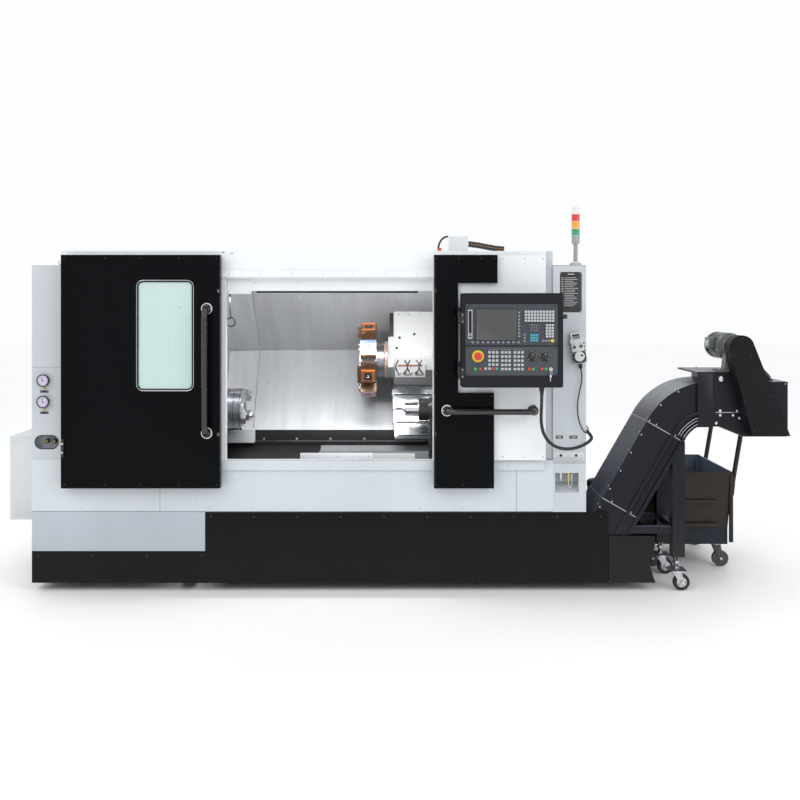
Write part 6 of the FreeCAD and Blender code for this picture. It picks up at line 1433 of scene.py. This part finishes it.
class LATHE_OT_column(bpy.types.Operator):
    """Legend plate, tags, shelf and pocket fittings of the column, and the signal lamp's collars"""
    bl_idname = "lathe.column"
    bl_label = "Column and signal lamp"

    def execute(self, context):
        p = Piece("column_fittings")
        p.plate("legend_black", FRONT, (939.5, 0, 1643), 119, 222, 1.4, 6, 0.5)
        p.plate("mark_white", FRONT, (939.5, -1.2, 1742), 36, 3.4, 0.5, 1, 0.1)
        for k in range(17):
            z = 1722 - k * 9.6
            wide = 62 + 13 * math.sin(2.3 * k)
            p.plate("mark_white", FRONT, (893, -1.2, z), 11, 2.4, 0.4, 0.6, 0.1)
            p.plate("mark_white", FRONT, (904 + wide / 2, -1.2, z), wide, 2.0, 0.4, 0.6, 0.1)
        p.screws("screw_zinc", FRONT, (885.5, 993.5), -1.2, (1538, 1748), 2.6, 1.4)
        for x, w in ((877, 38), (953, 42)):
            p.plate("legend_black", FRONT, (x, 0, 846.5), w, 17, 1.2, 1.5, 0.3)
            p.plate("mark_white", FRONT, (x, -1.0, 849), w * 0.7, 2, 0.4, 0.5, 0.1)
            p.plate("mark_white", FRONT, (x, -1.0, 844), w * 0.5, 2, 0.4, 0.5, 0.1)
        # small shelf bracket
        p.plate("cover_pale", FRONT, (926, 0, 746), 168, 40, 3, 9, 0.8)
        p.plate("cover_pale", TOP, (926, -13, 727), 166, 26, 2.5, 3, 0.6)
        for x in (884, 968):
            p.turn("gasket_black", FRONT, (x, -3, 746), [(7.5, 0), (7.5, 0.8), (6.5, 1)], 20)
        p.screws("screw_zinc", FRONT, (856, 926, 998), -3, 748, 3.4, 2.2)
        p.plate("gasket_black", FRONT, (932, 0, 704), 181, 1.8, 0.35, 0.4, 0.1)
        p.plate("gasket_black", FRONT, (932, 0, 1789), 181, 1.4, 0.3, 0.4, 0.1)
        # air couplings that hang in the pocket
        framed(p, "cover_pale", FRONT, (918, 0, 595), 134, 112, 4, 2.0)
        for x, drop, metal in ((888, 44, "steel_bright"), (931, 62, "brass_fitting")):
            p.turn(
                metal, UNDER, (x, 30, 648),
                [(11, -2), (11, 8), (7, 10), (7, 16), (9, 17), (9, 34), (6, 36), (6, drop)], 18,
            )
            p.form(metal, UNDER, (x, 30, 648), disc(12, 6), [(0.5, 9.5), (0, 10.5), (0, 18), (0.5, 19)])
        t = np.linspace(0, np.pi, 15)
        p.tube(
            "steel_bright", np.stack([940 - 9 * np.cos(t), 26 + 0 * t, 588 - 26 * np.sin(t)], 1), 2.2, 8,
            (0, 1, 0),
        )
        p.turn("steel_bright", UNDER, (949, 26, 640), [(4, 0), (4, 34), (2.4, 36), (2.4, 52)], 12)
        for z in (480, 1140, 1480):
            p.screw("screw_zinc", RIGHT, (1023, 240, z), 4, 2.5)
            p.screw("screw_zinc", RIGHT, (1023, 420, z), 4, 2.5)
        # signal lamp: its foot with three screws, and the collars between its tiers
        low, high = node_box("stack_light")
        cx, cy, top = (low[0] + high[0]) / 2, (low[1] + high[1]) / 2, high[2]
        p.turn(
            "pendant_white", TOP, (cx, cy, 1792), [(37, -0.5), (37, 4), (34, 7), (29, 9), (25, 22), (23.5, 24)],
            40,
        )
        for drop in (171, 130, 89, 48):
            p.turn(
                "mark_white", TOP, (cx, cy, top - drop), [(26.6, -1.6), (27.1, -1.0), (27.1, 1.0), (26.6, 1.6)],
                40,
            )
        for a in range(3):
            p.screw("screw_zinc", TOP, round_centre((cx, cy, 1798.4), TOP, 31, 120 * a + 40), 2.6, 1.6)
        p.done("grey_cover")
        # pendant hung on the column
        face = turned_face(FRONT, 9.6)
        u, v, n = face
        mid = np.array([975.0, 0.0, 1320.0])

        def at(a, b, y=-36.0):
            return mid + a * u + b * v + y * Y

        q = Piece("pendant_fittings")
        q.plate("pendant_white", face, at(0, 30), 66, 64, 2.2, 9, 0.9)
        q.plate("knob_moulded", face, at(0, -34), 70, 62, 1.4, 9, 0.6)
        q.plate("gasket_black", face, at(0, -2.5), 70, 1.6, 2.0, 0.5, 0.2)
        for a in (-18, 18):
            q.turn("pendant_white", face, at(a, 26, -38), [(14, 0), (14, 0.6), (13, 0.8)], 28)
            ring_scale(q, at(a, 26, -38.4), 11.5, 5, 170, 160, face)
            q.plate("legend_black", face, at(a, 43, -38), 15, 2, 0.5, 0.5, 0.1)
        for a in (-28, 28):
            for b in (-60, 58):
                q.screw("screw_zinc", face, at(a, b, -37), 2.6, 1.4)
        grip = np.array([(-24, 66), (-25, 84), (-19, 90), (19, 90), (25, 84), (24, 66)], float)
        q.tube("gland_black", np.stack([at(a, b, -20) for a, b in grip]), 4.6, 10, (0, 1, 0))
        for side in (-1, 1):
            for b in (-40, -20, 0, 20, 40):
                q.plate("gasket_black", face, at(side * 36.2, b, -28), 3.4, 12, 12, 1.5, 1.0)
        down = (u, -1.0 * n, -1.0 * v)
        q.turn(
            "gasket_black", down, at(0, -67, -19),
            [(13, -1), (13, 8), (10, 10), (10, 14), (8.5, 15), (8.5, 18), (10, 19), (9, 24), (6, 30)], 20,
        )
        q.done("panel_charcoal")
        spot = front_middle("pendant_dial")
        d = Piece("pendant_dial_face", "hand_dial")
        d.form("dial_white", FRONT, spot, lobed(27.3, 50, 0.5, 200), [(0, -6), (0, -0.5), (0.8, 0.3), (2, 0.6)])
        for k in range(20):
            d.plate(
                "legend_black", turned_face(FRONT, 18 * k), round_centre(spot - 0.4 * Y, FRONT, 21.5, 18 * k),
                3.2, 0.9, 0.5, 0.2, 0.1,
            )
        d.turn("knob_moulded", FRONT, spot - 0.5 * Y + 12 * X + 6 * Z, [(6, 0), (6, 5), (5, 6.5), (2, 7)], 20)
        d.turn("pendant_white", FRONT, spot - 0.5 * Y, [(13, 0), (13, 1.6), (11, 2.2)], 32)
        d.done("panel_charcoal")
        for name, body, node in (
            ("axis_cap", "axis_selector", "pendant_axis_knob"), ("rate_cap", "rate_selector", "pendant_rate_knob"),
        ):
            k, spot = knob_cap(
                name, body, node, lobed(8.3, 12, 0.5, 72), [(0, -5), (0, -0.5), (0.8, 0.5), (1.6, 0.8)],
            )
            k.plate("mark_white", FRONT, spot + (0, -0.6, 3.5), 1.3, 6, 0.7, 0.3, 0.1)
            k.done("panel_charcoal")
        return {"FINISHED"}


# ================================================================ chip conveyor, tank and bin
RISE = np.array([0.5, 0.0, math.sqrt(0.75)])
OFF_RISE = np.array([-math.sqrt(0.75), 0.0, 0.5])
ON_RISE = (RISE, Y, OFF_RISE)
RISE_FOOT, RISE_LONG = np.array([1161.9, 0.0, 355.0]), 620.6
BEND_MIDDLE = np.array([1719.0, 0.0, 750.0])


def rise_point(along, off, y):
    """A place on the conveyor's incline: along it, off its middle plane, and into the machine."""
    return RISE_FOOT + along * RISE + off * OFF_RISE + y * Y


def bend_arc(radius, y, start=150.0, end=90.0, count=25):
    """Arc about the upper bend's middle: (r cos a, r sin a) for a from the start to the end angle."""
    a = np.radians(np.linspace(start, end, count))
    return BEND_MIDDLE + np.stack([radius * np.cos(a), np.full(count, y), radius * np.sin(a)], 1)


class LATHE_OT_conveyor(bpy.types.Operator):
    """Screws, joint strips and bright rails of the conveyor, and the bolts, seams and terminal box of its head"""
    bl_idname = "lathe.conveyor"
    bl_label = "Chip conveyor"

    def execute(self, context):
        p = Piece("conveyor_fittings")
        strip = np.array([(-1.4, -0.4), (1.4, -0.4), (1.4, 1.0), (-1.4, 1.0)])
        for along in (110.0, 600.0):
            p.bar(
                "screw_zinc", strip, RISE, -Y,
                np.array([rise_point(along, 114.5, 20), rise_point(along, -114.5, 20)]),
            )
            p.bar(
                "screw_zinc", strip, RISE, OFF_RISE,
                np.array([rise_point(along, 115, 379), rise_point(along, 115, 21)]),
            )
            p.screw("screw_zinc", FRONT, rise_point(along + 10, 60, 20), 4, 3)
            p.screw("screw_zinc", FRONT, rise_point(along + 10, -60, 20), 4, 3)
        for along in (60.0, 175.0, 290.0, 405.0, 520.0, 610.0):
            p.screw("screw_zinc", FRONT, rise_point(along, 104, 20), 4.4, 3.4)
            p.screw("screw_zinc", ON_RISE, rise_point(along + 8, 115, 36), 4.4, 3.4)
            p.screw("screw_zinc", ON_RISE, rise_point(along + 8, 115, 364), 4.4, 3.4)
        for a in (136.0, 118.0, 100.0):
            spot = bend_arc(389, 20, a, a, 1)[0]
            p.screw("screw_zinc", FRONT, spot, 4.2, 3)
        for radius in (172.0, 186.0, 203.0, 217.0):
            p.tube("steel_bright", bend_arc(radius, 3.4), 1.7, 8, (0, 1, 0))
        for off in (-113.0, -99.0, -82.0, -68.0):
            p.tube(
                "conveyor_paint",
                np.array([rise_point(112, off, 3.6), rise_point(300, off, 3.6), rise_point(598, off, 3.6)]),
                1.6, 8, (0, 1, 0),
            )
        p.plate("conveyor_paint", FRONT, (1678, 4, 1046), 84, 292, 3, 2, 0.8)
        # head: bright bolts, joint line, brown undersides, seam and rim
        p.bolt("screw_zinc", FRONT, (1768, 5, 1166), 11, 8)
        p.plate("screw_zinc", FRONT, (1812, 5, 981), 150, 2.6, 1.4, 0.6, 0.3)
        for x, z in ((1762, 990), (1856, 990), (1762, 966), (1869, 950), (1891, 968), (1740, 922), (1833, 966)):
            p.bolt("screw_zinc", FRONT, (x, 5, z), 5.6, 5)
        under = np.array([(1724, 902.6), (1760, 902.6), (1888, 847.4), (1888, 849.2), (1760, 904.4), (1724, 904.4)])
        under = under - (1724, 902.6)
        p.bar("rust_under", under, X, Z, np.array([(1724, 392, 902.6), (1724, 8, 902.6)]))
        p.bar(
            "rust_under", np.array([(0, 0), (236, 0), (236, 1.6), (0, 1.6)]), X, Z,
            np.array([(1894, 392, 847.8), (1894, 8, 847.8)]),
        )
        p.plate("gasket_black", FRONT, (2030, 5, 1012), 206, 1.6, 0.4, 0.4, 0.1)
        for x in (1960, 2030, 2120):
            p.screw("screw_zinc", FRONT, (x, 5, 1138), 3.6, 2.4)
            p.screw("screw_zinc", TOP, (x, 40, 1150), 3.6, 2.4)
            p.screw("screw_zinc", TOP, (x, 360, 1150), 3.6, 2.4)
        p.screws("screw_zinc", RIGHT, 2131, (60, 200, 340), (880, 1120), 3.8, 2.6)
        # terminal box on the head
        p.plate("gear_paint", TOP, (2010, 200, 1150), 100, 60, 26, 5, 2)
        p.done("conveyor_black")
        return {"FINISHED"}


class LATHE_OT_drive(bpy.types.Operator):
    """Conveyor's motor with its ribs and cover, gear case bolts, cable glands, legs and wheels"""
    bl_idname = "lathe.drive"
    bl_label = "Conveyor drive and legs"

    def execute(self, context):
        p = Piece("drive_fittings")
        p.form(
            "gear_paint", FRONT, (1849, 296, 1340), lobed(75, 34, 6.5, 204),
            [(3, 0), (0, 3), (0, 178), (3, 181)],
        )
        p.turn(
            "motor_paint", BACK, (1849, 292, 1340),
            [(74, 0), (76, 2), (76, 34), (66, 40), (58, 41), (52, 39), (12, 39)], 44,
        )
        for r in (24, 36, 48):
            p.turn("gasket_black", BACK, (1849, 330, 1340), [(r, 0), (r, 1.4), (r - 3, 1.4), (r - 3, 0)], 36)
        p.turn("gear_paint", FRONT, (1849, 116, 1340), [(76, 0), (76, 10), (70, 13), (64, 36), (60, 38)], 44)
        for k in range(6):
            p.bolt("screw_zinc", FRONT, round_centre((1849, 106, 1340), FRONT, 68, 60 * k + 15), 5, 5)
        p.plate("gear_paint", LEFT, (1778, 205, 1356), 92, 62, 26, 5, 2)
        p.plate("zinc_plate", LEFT, (1752, 205, 1356), 60, 34, 0.8, 3)
        p.turn("gland_black", UNDER, (1764, 240, 1326), [(10, -1), (10, 8), (8, 10), (8, 18)], 16)
        p.bolts("screw_zinc", TOP, (1770, 1800, 1868, 1898), (38, 98), 1215, 6, 6)
        p.bolts("screw_zinc", TOP, (1655, 1740), (40, 370), 1203, 5.5, 5)
        # folded bracket under the motor plate, with its bright and brown bolts
        p.plate("conveyor_paint", FRONT, (1676, 16, 1165), 74, 58, 5, 5, 1)
        p.bolt("brass_fitting", FRONT, (1664, 11, 1164), 6, 5)
        p.bolt("screw_zinc", FRONT, (1694, 11, 1164), 6, 5)
        # chain guard: rolled edge and screws
        a = np.radians(np.linspace(152, 27, 22))
        over = np.stack([1849 + 67 * np.cos(a), np.full(22, -92.0), 1340 + 67 * np.sin(a)], 1)
        edge = np.concatenate([
            [(1906, -92, 866)], [(1785, -92, 1322)], over, [(1911, -92, 1362)], [(2108, -92, 866)],
        ])
        p.tube("guard_matt", edge, 1.8, 8, (0, 1, 0))
        for x, z in (
            (1802, 1300), (1849, 1392), (1896, 1300), (1915, 890), (2092, 890), (1862, 1060), (2014, 1080),
        ):
            p.screw("gland_black", FRONT, (x, -92, z), 5, 3)
        # grey cable glands behind it
        t = np.linspace(0, 1, 14)
        for k, y in enumerate((90.0, 124.0)):
            path = np.stack([1962 + 104 * t, y + 8 * np.sin(3 * t), 1163 + (46 - 6 * k) * np.sin(np.pi * t)], 1)
            p.tube("bin_caster", path, 11 + 0.9 * np.sin(np.arange(14) * np.pi), 10, (0, 1, 0))
            p.nut("gland_black", TOP, (2066, y + 1, 1149), 16, -1, 13)
            p.nut("gland_black", TOP, (1962, y, 1149), 16, -1, 13)
        # legs: end caps, threaded feet with their nuts, cross bar's bolts
        for y in (24.0, 356.0):
            p.plate("gland_black", UNDER, (1530, y, 188), 62, 38, 3, 3)
            turns = [(10.4 + 0.9 * (k % 2), 113 + 2.2 * k) for k in range(34)]
            p.turn("steel_bright", TOP, (1524, y, 0), turns, 20)
            for z in (116, 150, 172):
                p.nut("screw_zinc", TOP, (1524, y, z), 19, -0.2, 12)
            p.bolts("screw_zinc", FRONT, 1530, y - 18, (420, 470), 6, 5)
        p.done("conveyor_black")
        for end in ("front", "rear"):
            low, high = node_box("leg_wheel_" + end)
            mid = (low + high) / 2
            w = Piece(end + "_wheel_hub", end + "_wheel")
            for face, side in ((FRONT, low[1]), (BACK, high[1])):
                at = (mid[0], side, mid[2])
                w.turn("zinc_plate", face, at, [(27, -1), (27, 0.6), (24, 1.4), (14, 0.9), (13, 3.4), (7, 3.8)], 30)
                for k in range(5):
                    w.turn(
                        "gasket_black", face, round_centre(at, FRONT, 19, 72 * k),
                        [(3.4, 0.6), (3.4, 1.6), (2.6, 1.8)], 10,
                    )
            r = (high[2] - low[2]) / 2 - 0.7
            for y in (mid[1] - 9, mid[1], mid[1] + 9):
                w.tube("tyre_rubber", hoop((mid[0], y, mid[2]), r * Z, r * X, 48), 1.1, 6, (0, 1, 0), closed=True)
            w.done("wheel_rubber")
            low_f, high_f = node_box("leg_fork_" + end)
            f = Piece(end + "_fork_fittings", end + "_fork")
            top = high_f[2]
            for dx in (-24, 24):
                for dy in (-16, 16):
                    f.bolt("screw_zinc", UNDER, (1524 + dx, mid[1] + dy, top - 9), 4.6, 4)
            for face, side in ((FRONT, low_f[1]), (BACK, high_f[1])):
                f.bolt("steel_bright", face, (mid[0], side, mid[2]), 7.5, 5)
            f.turn("steel_bright", UNDER, (1524, mid[1], top - 10), [(30, 0), (31, 2), (31, 6), (26, 8)], 30)
            f.done("zinc")
        return {"FINISHED"}


class LATHE_OT_tank(bpy.types.Operator):
    """Coolant pump with its cover and terminal box, tank lid, hose, chip bin's rim and wheels"""
    bl_idname = "lathe.tank"
    bl_label = "Coolant tank and bin"

    def execute(self, context):
        p = Piece("tank_fittings")
        p.turn("motor_paint", TOP, (1180, 480, 350), [(57, 0), (58.5, 3), (58.5, 96), (57, 99)], 44)
        for k in range(20):
            u, v, n = turned_face(TOP, 18 * k)
            p.plate("motor_paint", (v, n, u), np.array([1180.0, 480.0, 398.0]) + 57.5 * u, 3, 84, 5, 1, 0.6)
        p.turn("tag_orange", TOP, (1180, 480, 458), [(58, 0), (59.5, 1), (59.5, 30), (58, 31)], 44)
        p.plate("stop_red_gloss", FRONT, (1176, 421, 474), 44, 16, 1.2, 3)
        p.turn(
            "gasket_black", TOP, (1180, 480, 488), [(60, 0), (62, 2), (62, 28), (56, 36), (40, 38), (12, 38)],
            44,
        )
        for r in (24, 36, 48):
            p.turn("vent_black", TOP, (1180, 480, 525.6), [(r, 0), (r, 1.6), (r - 3, 1.6), (r - 3, 0)], 36)
        p.plate("motor_paint", FRONT, (1180, 424, 400), 70, 56, 26, 5, 2)
        p.turn("gland_black", UNDER, (1196, 410, 373), [(9, -1), (9, 8), (7, 10), (7, 18)], 16)
        for k in range(4):
            p.bolt("screw_zinc", TOP, round_centre((1180, 480, 315), TOP, 72, 90 * k + 45), 5, 5)
        t = np.linspace(0, 1, 26)
        hose = np.stack([1118 + 0 * t - 26 * np.sin(np.pi * t), 500 + 150 * t, 330 + 90 * np.sin(np.pi * t)], 1)
        p.tube("lead_rubber", hose, 12 + 0.8 * (np.arange(26) % 2), 12, (1, 0, 0.2))
        for at in ((1118, 500, 318), (1118, 650, 318)):
            p.nut("brass_fitting", TOP, at, 17, 0, 13)
        low, high = node_box("coolant_tank")
        for x in np.linspace(low[0] + 24, high[0] - 24, 4):
            p.screw("screw_zinc", TOP, (x, low[1] + 14, high[2] if x > 1260 else 315), 4.4, 3)
        p.done("conveyor_black")
        # bin: rim bead, pressed ribs, corner straps
        b = Piece("bin_fittings")
        framed(b, "bin_worn", TOP, (1699.5, 775, 573), 556, 667, 4, 4.6)
        for face, at, w in (
            (FRONT, (1699.5, 440, 330), 380), (BACK, (1699.5, 1110, 330), 380),
            (RIGHT, (1979, 775, 330), 480), (LEFT, (1420, 775, 330), 480),
        ):
            for dz in (-70, 70):
                b.form(
                    "bin_worn", face, np.array(at, float) + dz * Z, rect(w, 26, 12),
                    [(0, -0.5), (1, 2.5), (4, 5), (9, 6)],
                )
        for x in (1428, 1971):
            for y in (448, 1102):
                b.plate("bin_worn", TOP, (x, y, 160), 22, 22, 396, 5, 2)
        top = node_box("bin_casters")[1][2]
        for x in (1490.0, 1899.0):
            for y in (518.0, 1032.0):
                for face, side in ((FRONT, y - 15.5), (BACK, y + 15.5)):
                    b.turn(
                        "bin_caster", face, (x + 28, side, 47),
                        [(30, -1), (30, 0.6), (16, 1.4), (14, 3.4), (7, 3.8)], 28,
                    )
                    b.bolt("screw_zinc", face, (x + 28, side + (-9 if face is FRONT else 9), 47), 6, 4)
                b.turn("zinc_plate", UNDER, (x, y, top - 3), [(30, -1), (31, 1), (31, 6), (25, 9)], 28)
        b.done("bin_blue")
        return {"FINISHED"}


OPERATORS = (
    LATHE_OT_stage, LATHE_OT_finishes, LATHE_OT_cords, LATHE_OT_covers, LATHE_OT_doors, LATHE_OT_chamber,
    LATHE_OT_chuck, LATHE_OT_turret, LATHE_OT_tailstock, LATHE_OT_console, LATHE_OT_column, LATHE_OT_conveyor,
    LATHE_OT_drive, LATHE_OT_tank,
)


# ================================================================ add-on
class LATHE_PT_panel(bpy.types.Panel):
    """Lists the lathe's pieces in the sidebar"""
    bl_label = "CNC turning lathe"
    bl_idname = "LATHE_PT_panel"
    bl_space_type = "VIEW_3D"
    bl_region_type = "UI"
    bl_category = "Lathe"

    def draw(self, context):
        for group in (context.scene.lathe_colours, context.scene.lathe_sizes, context.scene.lathe_stage):
            box = self.layout.box()
            for name in group.bl_rna.properties.keys():
                if name not in ("rna_type", "name"):
                    box.prop(group, name)
        for kind in OPERATORS:
            self.layout.operator(kind.bl_idname)


GROUPS = {"lathe_colours": LatheColours, "lathe_sizes": LatheSizes, "lathe_stage": LatheStage}
CLASSES = (*GROUPS.values(), *OPERATORS, LATHE_PT_panel)


def register():
    for kind in CLASSES:
        bpy.utils.register_class(kind)
    for name, kind in GROUPS.items():
        setattr(bpy.types.Scene, name, bpy.props.PointerProperty(type=kind))


def unregister():
    for name in GROUPS:
        delattr(bpy.types.Scene, name)
    for kind in reversed(CLASSES):
        bpy.utils.unregister_class(kind)


def main():
    register()
    for kind in OPERATORS:
        getattr(bpy.ops.lathe, kind.bl_idname.split(".")[1])()


if __name__ == "__main__":
    main()
